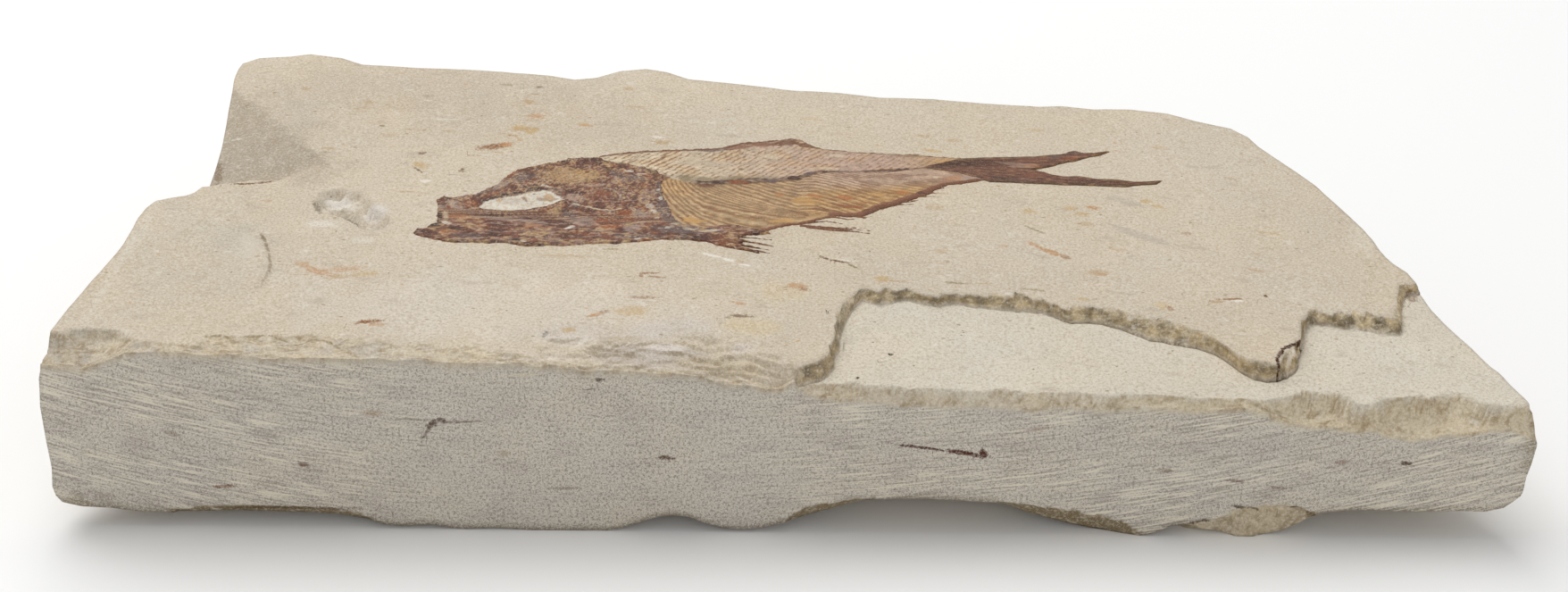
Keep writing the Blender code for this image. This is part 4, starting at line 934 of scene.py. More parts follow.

# %% [markdown]
# ## Stains and specks
#
# Iron and old plant matter left small rusty and olive stains all over the bedding face, and the saw
# cut through a few dark flakes. A few dark marks in the list are painted shade instead: along the pit's
# steep edge, on the scar's low riser and under the back edge of the chipped band. None of them follows
# a rule, so each is one entry in a list. They are finer than the mesh, so the mesh doesn't carry their
# colour but their own coordinates: how far along and across its nearest mark each point lies. Those run
# evenly over a face, so the material can draw a mark's edge between two points. Marks that lie close
# together go to different layers.

# %% Stains of the upper face and of the sawn face
RUST, ORANGE, GOLD, TAN = (142, 96, 60), (186, 140, 96), (192, 162, 112), (182, 154, 118)
BROWN, OLIVE, WHITE, SMOKE = (112, 84, 56), (140, 124, 92), (236, 230, 220), (182, 172, 158)
TOP_STAINS = [(-75.8, 79, 0.7, 0.5, 0, TAN, 0.6), (-69.3, 58.9, 0.8, 0.5, 0, TAN, 0.6),
    (-31.5, 69.6, 1.2, 0.4, 0, ORANGE, 0.6), (-19.4, 64.8, 0.9, 0.5, 0, TAN, 0.6),
    (-62.2, 67, 0.5, 0.3, 0, OLIVE, 0.7), (-25.7, 83.4, 0.9, 0.6, 0, TAN, 0.6),
    (-44.8, 83, 1, 0.4, 0, OLIVE, 0.5), (-65.4, 75.1, 0.9, 0.5, 10, TAN, 0.5),
    (-48.7, 53.9, 0.3, 0.3, 0, BROWN, 0.7), (-69.5, 57.7, 0.5, 0.3, 0, OLIVE, 0.5),
    (-56, 45.9, 1.2, 0.3, 5, TAN, 0.5), (-75.4, 41.6, 0.9, 0.4, 0, TAN, 0.5),
    (-39.7, 82.5, 0.6, 0.4, 0, BROWN, 0.5), (-56.6, 77.8, 0.8, 0.4, 0, OLIVE, 0.4),
    (-44.9, 61.4, 2.6, 0.9, 18, RUST, 0.85), (-42.8, 62.2, 1, 0.7, 18, ORANGE, 0.8),
    (-55.2, 58.4, 0.7, 0.5, 0, BROWN, 0.6), (-55, 54.5, 1.3, 0.8, -30, GOLD, 0.7),
    (-55.3, 53.1, 1.2, 0.22, -50, BROWN, 0.7), (-53.6, 49.5, 0.8, 0.5, 0, WHITE, 0.7),
    (-48.7, 53.2, 0.5, 0.4, 0, BROWN, 0.5), (-41.5, 68, 1.3, 0.9, 0, GOLD, 0.8),
    (-39.5, 67, 1.1, 0.9, 20, GOLD, 0.7), (-31.9, 70, 0.8, 0.5, 0, GOLD, 0.6),
    (-41, 77.2, 1.1, 0.8, 0, TAN, 0.7), (-39.3, 72.3, 1.3, 0.9, 0, ORANGE, 0.6),
    (-40.4, 67.6, 2.4, 0.5, 10, TAN, 0.5), (-19.5, 65.3, 1.6, 0.5, 5, TAN, 0.6),
    (-20.3, 66.8, 0.9, 0.4, 0, WHITE, 0.6), (-11, 30.4, 1.8, 0.35, -20, WHITE, 0.7),
    (-8.3, 29.2, 1.2, 0.35, -20, WHITE, 0.8), (-6.3, 28, 0.9, 0.3, -10, WHITE, 0.8),
    (-7, 28.9, 1, 0.3, -10, TAN, 0.6), (-31.5, 28.5, 3.4, 0.35, 0, TAN, 0.5),
    (-25.2, 31, 1.2, 0.3, 0, OLIVE, 0.5), (-65, 21.6, 2.2, 0.9, -22, ORANGE, 0.6),
    (-61.4, 22.6, 2.6, 0.8, 5, ORANGE, 0.45), (-58.4, 21.4, 1.8, 0.7, 10, GOLD, 0.5),
    (-67.4, 23.4, 1.2, 0.8, -40, ORANGE, 0.5), (-62, 20.4, 2.4, 0.6, 8, TAN, 0.5),
    (-56.3, 8.6, 1.7, 0.5, 14, RUST, 0.85), (-55.2, 8, 1.2, 0.4, 10, ORANGE, 0.5),
    (-19.8, 24.6, 1.4, 0.28, 6, RUST, 0.7), (-20.6, 23.8, 0.3, 0.6, 0, RUST, 0.6),
    (-18.6, 23.6, 1.2, 0.25, -4, RUST, 0.55), (-26.4, 12.6, 1.1, 0.45, 28, ORANGE, 0.75),
    (-25.2, 13.6, 0.7, 0.4, 20, RUST, 0.5), (-21.4, 14, 2.4, 1.3, 6, GOLD, 0.5),
    (-20, 17.8, 2.2, 0.4, 4, RUST, 0.5), (1, 22.4, 1.3, 0.9, -10, ORANGE, 0.6),
    (1.9, 21.6, 0.8, 0.5, -30, RUST, 0.6), (-7, 17.2, 1, 0.4, -20, ORANGE, 0.6),
    (-6.6, 13.7, 1.7, 0.4, 0, BROWN, 0.65), (-8.2, 13.3, 0.6, 0.3, 30, OLIVE, 0.5),
    (-29.6, 8.6, 1, 0.5, 0, GOLD, 0.6), (-32.6, 7.4, 0.35, 0.8, -20, (120, 112, 110), 0.6),
    (-26, 3.6, 2, 0.4, 0, OLIVE, 0.35), (12.9, 25.2, 1.3, 0.8, 0, GOLD, 0.65),
    (15, 24.8, 1.6, 0.3, 0, TAN, 0.5), (4.9, 30.6, 1.2, 0.28, -40, BROWN, 0.8),
    (6.8, 29.8, 1.4, 0.28, -18, BROWN, 0.85), (8.8, 28.6, 1, 0.25, -45, OLIVE, 0.8),
    (7.6, 30.2, 1.4, 0.25, -12, WHITE, 0.5), (21, 47.3, 1.3, 0.9, 0, TAN, 0.45),
    (20.7, 70.5, 1.2, 0.5, 0, TAN, 0.5), (25.2, 69.5, 1.2, 0.6, 0, TAN, 0.5),
    (21.7, 65.7, 1.3, 0.6, -10, GOLD, 0.6), (35, 47, 1.2, 0.7, 0, GOLD, 0.6),
    (35.2, 41.5, 1.7, 0.28, -38, OLIVE, 0.7), (35, 36.8, 1.2, 0.5, -50, ORANGE, 0.7),
    (37.2, 34.8, 2, 0.6, -36, ORANGE, 0.75), (39.2, 33.4, 1, 0.5, -30, RUST, 0.5),
    (21.5, 34, 1, 0.6, 0, TAN, 0.5), (41, 48.3, 1, 0.6, 0, GOLD, 0.6),
    (42.6, 46.7, 1.1, 0.6, 0, GOLD, 0.6), (44.6, 48.8, 1, 0.5, -10, ORANGE, 0.75),
    (43.2, 43.6, 1.2, 0.6, 0, TAN, 0.5), (50, 51, 3.4, 0.8, -30, SMOKE, 0.5),
    (50.5, 41, 5, 1, -32, SMOKE, 0.6), (52.7, 51.4, 1, 0.6, 0, GOLD, 0.7),
    (54.3, 49.9, 1.1, 0.5, -20, GOLD, 0.6), (56.5, 69.3, 1, 0.6, 0, GOLD, 0.4),
    (43.4, 29.4, 1.5, 0.8, 8, TAN, 0.6), (43.9, 29, 0.9, 0.4, 0, ORANGE, 0.5),
    (51.5, 20.8, 1.1, 0.9, 0, GOLD, 0.6), (51.3, 21, 0.7, 0.5, 0, (208, 190, 160), 0.9),
    (52.4, 20.2, 0.5, 0.6, 20, RUST, 0.5), (61.4, 23.2, 1.8, 0.3, 6, RUST, 0.75),
    (59.3, 22.3, 0.9, 0.4, 0, TAN, 0.7), (62.4, 22.8, 1, 0.3, 6, WHITE, 0.8),
    (66.4, 24.6, 0.3, 0.3, 0, BROWN, 0.9), (23.2, 25, 1.6, 0.28, -3, OLIVE, 0.6),
    (27, 25, 1.4, 0.2, 0, TAN, 0.5), (33.8, 23.8, 1.6, 0.26, -5, OLIVE, 0.6),
    (40.5, 21.8, 1, 0.4, -5, GOLD, 0.55), (87.4, 27.4, 0.9, 1.2, 0, BROWN, 0.6),
    (13.6, 8.4, 0.36, 0.36, 0, (60, 46, 36), 0.95), (9.1, 2.5, 0.24, 0.24, 0, (72, 58, 46), 0.9),
    (23.7, 14.4, 0.16, 0.16, 0, (96, 84, 70), 0.8), (44, 7.6, 0.18, 0.18, 0, (96, 84, 70), 0.7),
    (57.5, 42, 0.8, 0.5, 0, RUST, 0.4), (66, 32, 1.6, 0.3, -20, ORANGE, 0.4),
    (70, 43, 1.8, 0.4, -15, GOLD, 0.35), (30.5, 36, 0.7, 0.4, 0, ORANGE, 0.4),
    (47, 36.4, 1.4, 0.3, -8, ORANGE, 0.4), (-52, 66, 1.4, 0.4, 0, TAN, 0.4),
    (-61, 64, 1.2, 0.6, 0, TAN, 0.35), (-66, 73, 1.4, 0.5, 10, TAN, 0.35),
    (-24, 77, 1.8, 0.4, 0, TAN, 0.4), (3, 75, 1.4, 0.4, 0, GOLD, 0.35), (38, 74, 1.6, 0.4, -8, GOLD, 0.4),
    (66.5, 60, 1.4, 0.4, -30, TAN, 0.4), (-80, 46.5, 1.7, 0.3, 6, BROWN, 0.8),
    (-77.2, 47.1, 1.6, 0.28, 18, (120, 84, 66), 0.85), (-75.2, 48.2, 1.2, 0.22, 32, (120, 84, 66), 0.7),
    # the marks at (-68, 39.8) and (-63.6, 37.2) are painted shade along the pit's steep front left edge
    (-84.6, 52, 0.6, 3.4, 8, BROWN, 0.5), (-68, 39.8, 0.5, 1.8, 20, (110, 98, 80), 0.6),
    # the marks from (-74, 30.1) to (-71.9, 19) are painted shade on the scar's low riser, drawn as a dark
    # line
    (-63.6, 37.2, 2.8, 0.35, -40, (96, 84, 66), 0.6), (-74, 30.1, 1.7, 0.3, -67, (138, 122, 98), 0.8),
    (-73, 27.3, 1.6, 0.25, -71, (146, 130, 106), 0.8), (-72.2, 24.5, 1.6, 0.22, -77, (150, 134, 110), 0.7),
    (-71.7, 21.8, 1.4, 0.2, -85, (154, 138, 114), 0.6), (-71.9, 19, 1.7, 0.18, 83, (160, 144, 120), 0.45),
    (-75.6, 27, 1.6, 4, 12, (216, 208, 194), 0.35), (65.3, 6.4, 1.3, 0.2, 90, (74, 46, 32), 0.95),
    (66, 8.8, 1.7, 0.35, 65, (74, 46, 32), 0.95), (67.5, 10.8, 1.3, 0.35, 36, (74, 46, 32), 0.95),
    (69.2, 12.5, 1.4, 0.2, 50, (74, 46, 32), 0.9), (67.2, 8.3, 1.2, 0.3, 65, WHITE, 0.4),
    # the olive marks from (-76.1, 3.7) to (-59.6, 2.6) are painted shade under the chipped band's back edge
    (68.3, 10, 1, 0.35, 48, WHITE, 0.4), (-76.1, 3.7, 1.4, 0.25, 14, OLIVE, 0.6),
    (-74, 3.4, 1.2, 0.2, -38, OLIVE, 0.6), (-70.8, 4.1, 2, 0.25, 11, OLIVE, 0.6),
    (-67.6, 3.9, 1.7, 0.25, -23, OLIVE, 0.6), (-64, 3.4, 1.4, 0.2, 24, OLIVE, 0.6),
    (-61.6, 3.6, 1.4, 0.25, -17, OLIVE, 0.6), (-59.6, 2.6, 1.1, 0.2, -38, OLIVE, 0.5)]
SAWN_STAINS = [(-47.4, 17, 0.9, 0.5, 35, (92, 74, 62), 0.85),
    (-46, 17.6, 0.8, 0.4, -20, (92, 74, 62), 0.8), (-43.4, 17.4, 2.6, 0.2, 3, (104, 86, 72), 0.6),
    (-50, 17.7, 2, 0.18, -5, (112, 96, 82), 0.5), (-48.2, 15.7, 1.2, 0.25, 58, (104, 86, 72), 0.65),
    (-55.2, 18.6, 1.3, 0.5, 0, (164, 138, 108), 0.5), (-38, 12.4, 0.8, 0.5, 0, (150, 128, 104), 0.4),
    (-35, 24.8, 2.2, 0.3, 3, (214, 202, 170), 0.4), (61, 5, 1.1, 0.28, -12, (72, 56, 40), 0.8),
    (63, 4.6, 0.8, 0.22, -30, (84, 66, 48), 0.7), (68.4, 4.9, 0.9, 0.26, 10, (72, 56, 40), 0.75),
    (55.6, 2.4, 1.6, 0.35, 14, (74, 56, 40), 0.8), (71, 3.4, 0.8, 0.9, 30, (112, 94, 66), 0.7),
    (-68, 3.1, 9, 0.4, 1, (92, 74, 52), 0.75), (-16.5, 12, 1.2, 0.35, -5, (98, 72, 56), 0.85),
    (-65, 10.4, 0.9, 0.35, -10, (110, 82, 66), 0.7), (-76, 6.7, 1.5, 0.3, 4, (120, 80, 60), 0.7),
    (-25, 24.3, 0.7, 0.5, 10, (92, 74, 62), 0.8), (17.4, 14.1, 3.6, 0.22, -8, (84, 56, 44), 0.9),
    (23.6, 13.2, 2.8, 0.4, -10, (84, 50, 38), 0.95), (26, 13.1, 0.6, 0.8, 10, (84, 50, 38), 0.9),
    (50.7, 10.7, 1, 0.3, 0, (120, 96, 80), 0.6), (82.7, 12.3, 0.8, 0.35, 0, (84, 62, 50), 0.85),
    (60, 9.2, 1.4, 0.25, -4, (110, 84, 74), 0.6), (66, 8.2, 1.6, 0.25, -6, (118, 92, 80), 0.5),
    (33, 17.2, 2, 0.25, 8, (150, 120, 104), 0.5), (-82, 15, 1.2, 0.4, -20, (140, 124, 104), 0.5),
    (-30, 7, 2.4, 0.3, 3, (132, 116, 98), 0.5), (74, 12.4, 1, 0.3, 4, (130, 96, 78), 0.5)]

print(len(TOP_STAINS), "stains on the upper face and", len(SAWN_STAINS), "on the sawn one")

# %% Marks in layers
LAYER_REACH = 1.7               # how far past a mark's edge its coordinates are kept, in mm


def mark_layers(marks):
    """The layer of each mark: one above the highest layer of the earlier marks that lie near it."""
    layers = []
    for k, (mark_x, mark_y, half_x, half_y, *_) in enumerate(marks):
        near = [layers[j] for j, other in enumerate(marks[:k])
                if math.hypot(mark_x - other[0], mark_y - other[1])
                < max(half_x, half_y) + max(other[2:4]) + 2 * LAYER_REACH]
        layers.append(max(near) + 1 if near else 0)
    return layers


def lay_marks(stone_marks, x, y, allowed, marks):
    """Writes each mark's coordinates, strength and tone to the points that lie in its reach."""
    for mark, layer in zip(marks, mark_layers(marks)):
        mark_x, mark_y, half_x, half_y, turn, values, strength = mark
        along_mark, across_mark = turned(x, y, mark_x, mark_y, turn)
        near = allowed & (np.abs(along_mark) < half_x + LAYER_REACH)
        near &= np.abs(across_mark) < half_y + LAYER_REACH
        place, shade = stone_marks[layer]
        local = np.column_stack((along_mark / half_x, across_mark / half_y, np.full(len(x), strength)))
        place[near] = local[near]
        shade[near] = srgb(*values)


mark_count = 1 + max(mark_layers(TOP_STAINS) + mark_layers(SAWN_STAINS))
stone_marks = [(np.tile((9.0, 9.0, 0.0), (len(stone_points), 1)), np.zeros((len(stone_points), 3)))
               for _ in range(mark_count)]
top_only = np.arange(len(stone_points)) < len(top_points)
lay_marks(stone_marks, stone_points[:, 0], stone_points[:, 1], top_only, TOP_STAINS)
sawn_only = ~top_only & (stone_points[:, 1] < 2.0)
lay_marks(stone_marks, stone_points[:, 0], stone_points[:, 2], sawn_only, SAWN_STAINS)
for layer, (place, shade) in enumerate(stone_marks):
    add_colour(stone, f"mark_{layer}", place)
    add_colour(stone, f"mark_tone_{layer}", shade)
print(len(TOP_STAINS) + len(SAWN_STAINS), "marks in", mark_count, "layers")

# %% [markdown]
# ## Finish of the stone
#
# The real block has three finishes: a bedding face with fine grain and pale and rusty flecks, a sawn
# face with dust, pores and curved scratches, and breaks that show the laminae edge on. The material
# works out all three and mixes them by the kinds kept on the mesh, so one slot serves the whole stone
# and no seam shows.

# %% Stone material: what it reads
stone_material, tree = new_material("limestone")
surface = tree.nodes["Principled BSDF"]
tint_node = kept_colour(tree, "tint")
kinds = parts_of(tree, kept_colour(tree, "kind"))
lie = kept_colour(tree, "saw_lie")
place = place_in_mm(tree, (0.0, DEPTH / 2, 0.0))
# the marks' edges are moved by two noises, one coarse and one fine
fray = maths(tree, "MULTIPLY_ADD", noise_at(tree, place, 1.6, 2.0), 1.8, -0.9)
fray = maths(tree, "MULTIPLY_ADD", noise_at(tree, place, 5.0, 2.0), 1.6, maths(tree, "ADD", fray, -0.8))
print("the material reads tint, kind, saw_lie and", mark_count, "layers of marks")

# %% Upper face: fine grain, flecks and small dark spots
grain = noise_at(tree, place, 2.6, 3.0)
fine = noise_at(tree, place, 7.0, 2.0)
colour = veils(tree, tint_node, [
    (grain, 0.46, 0.7, 0.34, (238, 230, 216)),
    (grain, 0.5, 0.3, 0.42, (166, 147, 118)),
    (fine, 0.54, 0.7, 0.3, (244, 238, 226)),
    (fine, 0.45, 0.3, 0.4, (150, 132, 108))])
flecks = noise_at(tree, moved(tree, place, (0.7, 1.0, 1.0)), 1.1, 3.0)
colour = veiled(tree, colour, flecks, 0.69, 0.76, 0.55, (196, 146, 96))
dusty = noise_at(tree, moved(tree, place, (0.6, 1.0, 1.0), (31.0, 7.0, 3.0)), 0.8, 4.0)
colour = veiled(tree, colour, dusty, 0.64, 0.74, 0.45, (232, 226, 216))
smoky = noise_at(tree, moved(tree, place, (0.5, 1.0, 1.0), (5.0, 41.0, 9.0)), 0.5, 4.0)
colour = veiled(tree, colour, smoky, 0.6, 0.74, 0.4, (176, 162, 146))
spots = put(tree, "TexVoronoi", {"Vector": place, "Scale": 0.42}).outputs
chosen = step_between(tree, parts_of(tree, spots["Color"])[0], 0.62, 0.64)
upper = veiled(tree, colour, spots["Distance"], 0.075, 0.045, 0.7, (112, 88, 64), chosen)
flat = moved(tree, place, (0.55, 1.0, 1.0), (17.0, 3.0, 0.0))
specks = put(tree, "TexVoronoi", {"Vector": flat, "Scale": 0.62}).outputs
chosen = step_between(tree, parts_of(tree, specks["Color"])[1], 0.74, 0.76)
upper = veiled(tree, upper, specks["Distance"], 0.14, 0.07, 0.6, (146, 120, 84), chosen)
print("upper face:", len(tree.nodes), "nodes so far")

# %% Sawn face: dust and pores, then scratches along the arc of the blade
pores = noise_at(tree, place, 2.4, 2.0)
dots = noise_at(tree, place, 5.2, 2.0)
cloud = noise_at(tree, moved(tree, place, (0.12, 0.12, 0.3)), 1.0, 3.0)
cut = noise_at(tree, moved(tree, lie, (0.06, 1.15, 1.0)), 3.0, 2.0)
sets = noise_at(tree, moved(tree, lie, (0.03, 0.16, 1.0)), 1.0, 2.0)
sawn = veils(tree, tint_node, [
    (cloud, 0.46, 0.64, 0.28, (202, 193, 174)),
    (cloud, 0.52, 0.36, 0.35, (172, 160, 153)),
    (pores, 0.5, 0.34, 0.62, (132, 122, 111)),
    (pores, 0.51, 0.66, 0.5, (216, 211, 199)),
    (dots, 0.49, 0.35, 0.65, (124, 115, 105)),
    (dots, 0.52, 0.66, 0.55, (222, 217, 208))])
# the saw's marks are clear towards both ends and almost worn away left of the middle
along_edge = put(tree, "SeparateXYZ", {0: place}).outputs["X"]
from_worn = maths(tree, "ABSOLUTE", maths(tree, "ADD", along_edge, 27.0))
kept = maths(tree, "MULTIPLY_ADD", step_between(tree, from_worn, 12.0, 42.0), 0.85, 0.15)
in_sets = maths(tree, "MULTIPLY", step_between(tree, sets, 0.38, 0.58), kept)
sawn = veils(tree, sawn, [
    (cut, 0.51, 0.63, 0.8, (226, 218, 198), in_sets),
    (cut, 0.47, 0.34, 0.5, (146, 135, 122), kept)])
print("sawn face:", len(tree.nodes), "nodes so far")

# %% Breaks: thin laminae seen edge on, with darker partings between them
laminae = noise_at(tree, moved(tree, place, (0.22, 0.22, 1.5)), 1.3, 4.0)
broken = veils(tree, colour, [
    (laminae, 0.5, 0.34, 0.55, (134, 112, 76), kinds[0]),
    (laminae, 0.53, 0.7, 0.45, (222, 208, 184), kinds[0])])
rubble = noise_at(tree, place, 1.0, 4.0)
broken = veils(tree, broken, [
    (rubble, 0.47, 0.34, 0.42, (122, 104, 74)),
    (rubble, 0.54, 0.66, 0.35, (222, 208, 182))])
print("breaks:", len(tree.nodes), "nodes so far")

# %% Finish: the kinds mixed, the stains laid over them, and a fine relief
finished = mixed(tree, kinds[2], upper, broken)
patchy = maths(tree, "MULTIPLY_ADD", step_between(tree, grain, 0.62, 0.44), 0.4, 0.72)
finished = stained(tree, mixed(tree, kinds[1], finished, sawn), fray, patchy, mark_count)
tree.links.new(finished, surface.inputs["Base Color"])
surface.inputs["Roughness"].default_value = 0.92
surface.inputs["Specular IOR Level"].default_value = 0.2

# relief finer than the mesh: grains everywhere, scratches on the sawn face only
relief = maths(tree, "MULTIPLY_ADD", fine, 0.5, grain)
relief = maths(tree, "MULTIPLY_ADD", maths(tree, "MULTIPLY", cut, kinds[1]), 1.2, relief)
relief = maths(tree, "MULTIPLY_ADD", maths(tree, "MULTIPLY", rubble, kinds[2]), 2.5, relief)
bump = put(tree, "Bump", {"Strength": 0.7, "Distance": 0.00012, "Height": relief})
tree.links.new(bump.outputs["Normal"], surface.inputs["Normal"])
stone.data.materials.append(stone_material)
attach(stone, "root")
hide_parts("stone_slab")
print("stone material of", len(tree.nodes), "nodes")

# %% [markdown]
# ## The fish
#
# The fossil is a film of bone and dark remains, a few tenths of a millimetre high, which splits at
# its edges into single rays. Three finished surfaces lie over one another as the real parts do: the
# flank with its fins, the tail fin over its end, and the skull with the shoulder and the pectoral
# fin over its front. Each reaches a little past its own outline and dips under the stone there, so
# the stone itself cuts the ragged edge.

# %% Outlines of the fish
SKULL = [(-53.6, 33.6), (-53, 34.7), (-51.8, 35), (-50.9, 36.2), (-50.3, 36.8), (-50.6, 38.7), (-50.8, 41),
    (-51.3, 43.5), (-50.5, 44.6), (-49.3, 44.4), (-47.7, 45), (-45.7, 46), (-44.3, 47.8), (-43, 49.2),
    (-42.3, 51.2), (-41.2, 53), (-40.5, 54.2), (-39, 54.8), (-36.7, 55.9), (-35, 56.6), (-33.4, 57.9),
    (-31.7, 58.3), (-30, 58.6), (-28.6, 58.6), (-26.6, 57.4), (-24.8, 57.3), (-23, 56.4), (-21.2, 55.9),
    (-19.6, 55), (-18.8, 53.4), (-19, 50.5), (-18.5, 47.3), (-17.6, 44.4), (-17.2, 42), (-16.4, 39.8),
    (-15.4, 38.7), (-13, 38.3), (-10, 38.9), (-7.6, 39.2), (-5, 38.4), (-3.2, 37.7), (-2.6, 37.1),
    (-6, 36.6), (-9, 35.2), (-11.3, 34), (-14.7, 34.3), (-18, 34.3), (-21.3, 33.3), (-24.7, 32.5),
    (-28, 32.2), (-31.3, 31.5), (-34.7, 31.2), (-37.3, 30.9), (-40.3, 31.5), (-44.7, 31.3), (-48.3, 31.3),
    (-50.7, 32), (-52.7, 32.8)]
FLANK = [(-29, 55), (-29, 58.9), (-28, 59.7), (-26, 60.6), (-23.3, 61.4), (-20, 62.1), (-16.3, 62.8),
    (-13, 63.4), (-10.3, 64.1), (-8.4, 65.4), (-6.6, 66.3), (-4.9, 66.6), (-3.4, 66.9), (-2, 67.3),
    (-0.1, 68.1), (1, 68), (1.7, 67.6), (2.6, 66.6), (3.6, 65.6), (5, 64.9), (7, 64.6), (10.9, 64.2),
    (14.7, 64), (19.4, 64), (23.2, 63.5), (26.1, 63.3), (30, 63), (30, 56.6), (28.5, 55.9), (25.6, 54.9),
    (23.6, 54.3), (22.4, 53.3), (21.2, 52.2), (20.4, 50.9), (18, 49.2), (15.6, 47.3), (13.6, 46),
    (12.4, 45), (11.3, 43.9), (9.9, 43.2), (8.2, 42.9), (6.6, 43.1), (5.4, 42.4), (3.4, 41.3), (1.6, 40.4),
    (-0.4, 39.7), (-2, 38.8), (-3.5, 37.7), (-6, 37), (-14, 36.8), (-18, 37.5), (-21, 42), (-21.5, 50),
    (-23, 54)]
UPPER_LOBE = [(19.6, 59.5), (22, 61), (25, 62.7), (27.6, 63.4), (30.8, 63.9), (35, 64.4), (37.1, 64.7),
    (39.2, 65.4), (41.3, 65.8), (42.4, 66.6), (43.4, 67), (44.9, 66.4), (46.5, 66.5), (49.2, 67.5),
    (47.4, 66), (45.2, 65), (43.3, 63.7), (41.6, 63), (40.3, 62.2), (39, 61.3), (37.6, 60.7), (36, 60),
    (30, 58.8)]
LOWER_LOBE = [(19.6, 59.3), (25, 61.5), (30, 61.4), (34, 60.9), (37, 60.2), (38.4, 59.5), (39.4, 59),
    (40.8, 58.5), (43.2, 58.8), (44.8, 58.3), (46.4, 57.9), (49.6, 57.9), (51.6, 57.4), (53.6, 57.6),
    (56.1, 58.4), (54.9, 56.9), (52.4, 56.5), (50.3, 55.7), (47.8, 55.6), (45.3, 55.8), (42.5, 55.8),
    (38.4, 55.7), (34.9, 55.9), (32.6, 56), (29.8, 55.7), (27.5, 57), (25, 58.2), (22, 58.9)]
# skin between the rays of the pectoral fin; then single rays: the way of each, and its width at the
# root and at the tip
FIN_WEB = [(-13, 37), (-8.2, 36.4), (-6.6, 34.8), (-7.4, 32.9), (-10, 33.4), (-13, 34.4)]
PECTORAL_RAYS = [([(-12.5, 35.6), (-8, 36), (-5, 35.8), (-2.6, 35.4)], 0.45, 0.1),
    ([(-12.5, 35.3), (-8.6, 35.2), (-4.9, 34.4), (-2.4, 33.6)], 0.5, 0.1),
    ([(-12.5, 35), (-9, 34.4), (-6, 33.3), (-2.7, 32.5)], 0.62, 0.12),
    ([(-12.5, 34.8), (-9.6, 33.8), (-7, 32.8), (-4.5, 32), (-2.9, 31.6)], 0.75, 0.14),
    ([(-12, 34.6), (-9, 33.1), (-6.2, 32.2), (-4.4, 31.5)], 0.8, 0.2),
    ([(-11.5, 36.2), (-8.4, 36.6), (-6.4, 36.4)], 0.6, 0.2)]
BELLY_RAYS = [([(0.5, 40.1), (3, 40.9), (5.2, 41.5), (8, 40.9)], 0.42, 0.16),
    ([(1.6, 39.9), (5.4, 39.7), (9.7, 39.9), (12.4, 40.2)], 0.55, 0.1),
    ([(2.6, 39.6), (6, 38.9), (9.4, 38.8), (12, 38.3)], 0.7, 0.14),
    ([(3.6, 39.6), (7.4, 39.3), (10.6, 39.4), (11.8, 39.2)], 0.6, 0.12),
    ([(10.6, 45), (13.8, 46.9), (16.6, 47.7), (19.3, 47.9)], 0.65, 0.12),
    ([(13, 47), (15.4, 48), (17.6, 48.6), (19, 49.2)], 0.6, 0.15),
    ([(15.4, 48.6), (18, 50), (20.6, 50.5), (21.8, 50.3)], 0.6, 0.12),
    ([(18, 50.6), (20.4, 51.6), (22.9, 51.8)], 0.5, 0.12),
    ([(19.6, 52), (21.6, 52.8), (22.8, 53.4)], 0.5, 0.2),
    ([(6, 42.9), (8.4, 42.3), (9.4, 42.6)], 0.5, 0.2),
    ([(9, 43.4), (10.8, 43), (11.8, 43.6)], 0.45, 0.15)]
BACKBONE = [(-22, 54.2), (-18, 53.4), (-15, 52.4), (-12.7, 51.9), (-10.1, 52.4), (-6.8, 52.9),
    (-4.7, 53.5), (-2.8, 53.6), (0, 54.3), (1.1, 54.5), (2.3, 55.6), (3.8, 56.6), (6.9, 57.2), (9.9, 57.4),
    (13.4, 57.9), (16.5, 58.6), (20, 59.4), (31, 60.4)]
print(len(SKULL) + len(FLANK) + len(UPPER_LOBE) + len(LOWER_LOBE), "outline points")

# %% Distance to a ray
def way_distance(x, y, way, start, end):
    """Distance to a line of points less its half width there, which runs from start to end."""
    way = np.asarray(way, float)
    reach = reach_along(way)
    least = np.full(np.shape(x), np.inf)
    for k, ((ax, ay), (bx, by)) in enumerate(zip(way, way[1:])):
        dx, dy = bx - ax, by - ay
        share = np.clip(((x - ax) * dx + (y - ay) * dy) / (dx * dx + dy * dy), 0.0, 1.0)
        half = start + (end - start) * (reach[k] + share * (reach[k + 1] - reach[k]))
        least = np.minimum(least, np.hypot(x - ax - share * dx, y - ay - share * dy) - half / 2)
    return least


print("1 mm over a ray 0.5 mm wide:", way_distance(0, 1, [(-5, 0), (5, 0)], 0.5, 0.5), "mm from its edge")

# %% [markdown]
# ## Ribs
#
# The ribs leave the backbone, steeply at the shoulder and flatter towards the tail. A rib that starts
# at s on the backbone has run g = a(s) d + b(s) d^2 to the right at a depth d below it. For a point on
# the flank s is unknown, and a few Newton steps find it. Whole numbers of s over the pitch are ribs.

# %% Rib field
RIB_RUN = [(-21, -0.1), (-19.2, 0), (-17.6, 0), (-16.5, 0.05), (-14.8, 0.72), (-10, 1.2), (-5, 1.45),
    (2, 1.9), (10, 2.4), (25, 3)]
RIB_BEND = [(-21, 0.03), (-17.6, 0.062), (-16.5, 0.11), (-14.8, 0.05), (-10, 0.01), (-5, 0), (25, 0)]
RIB_PITCH = 1.28


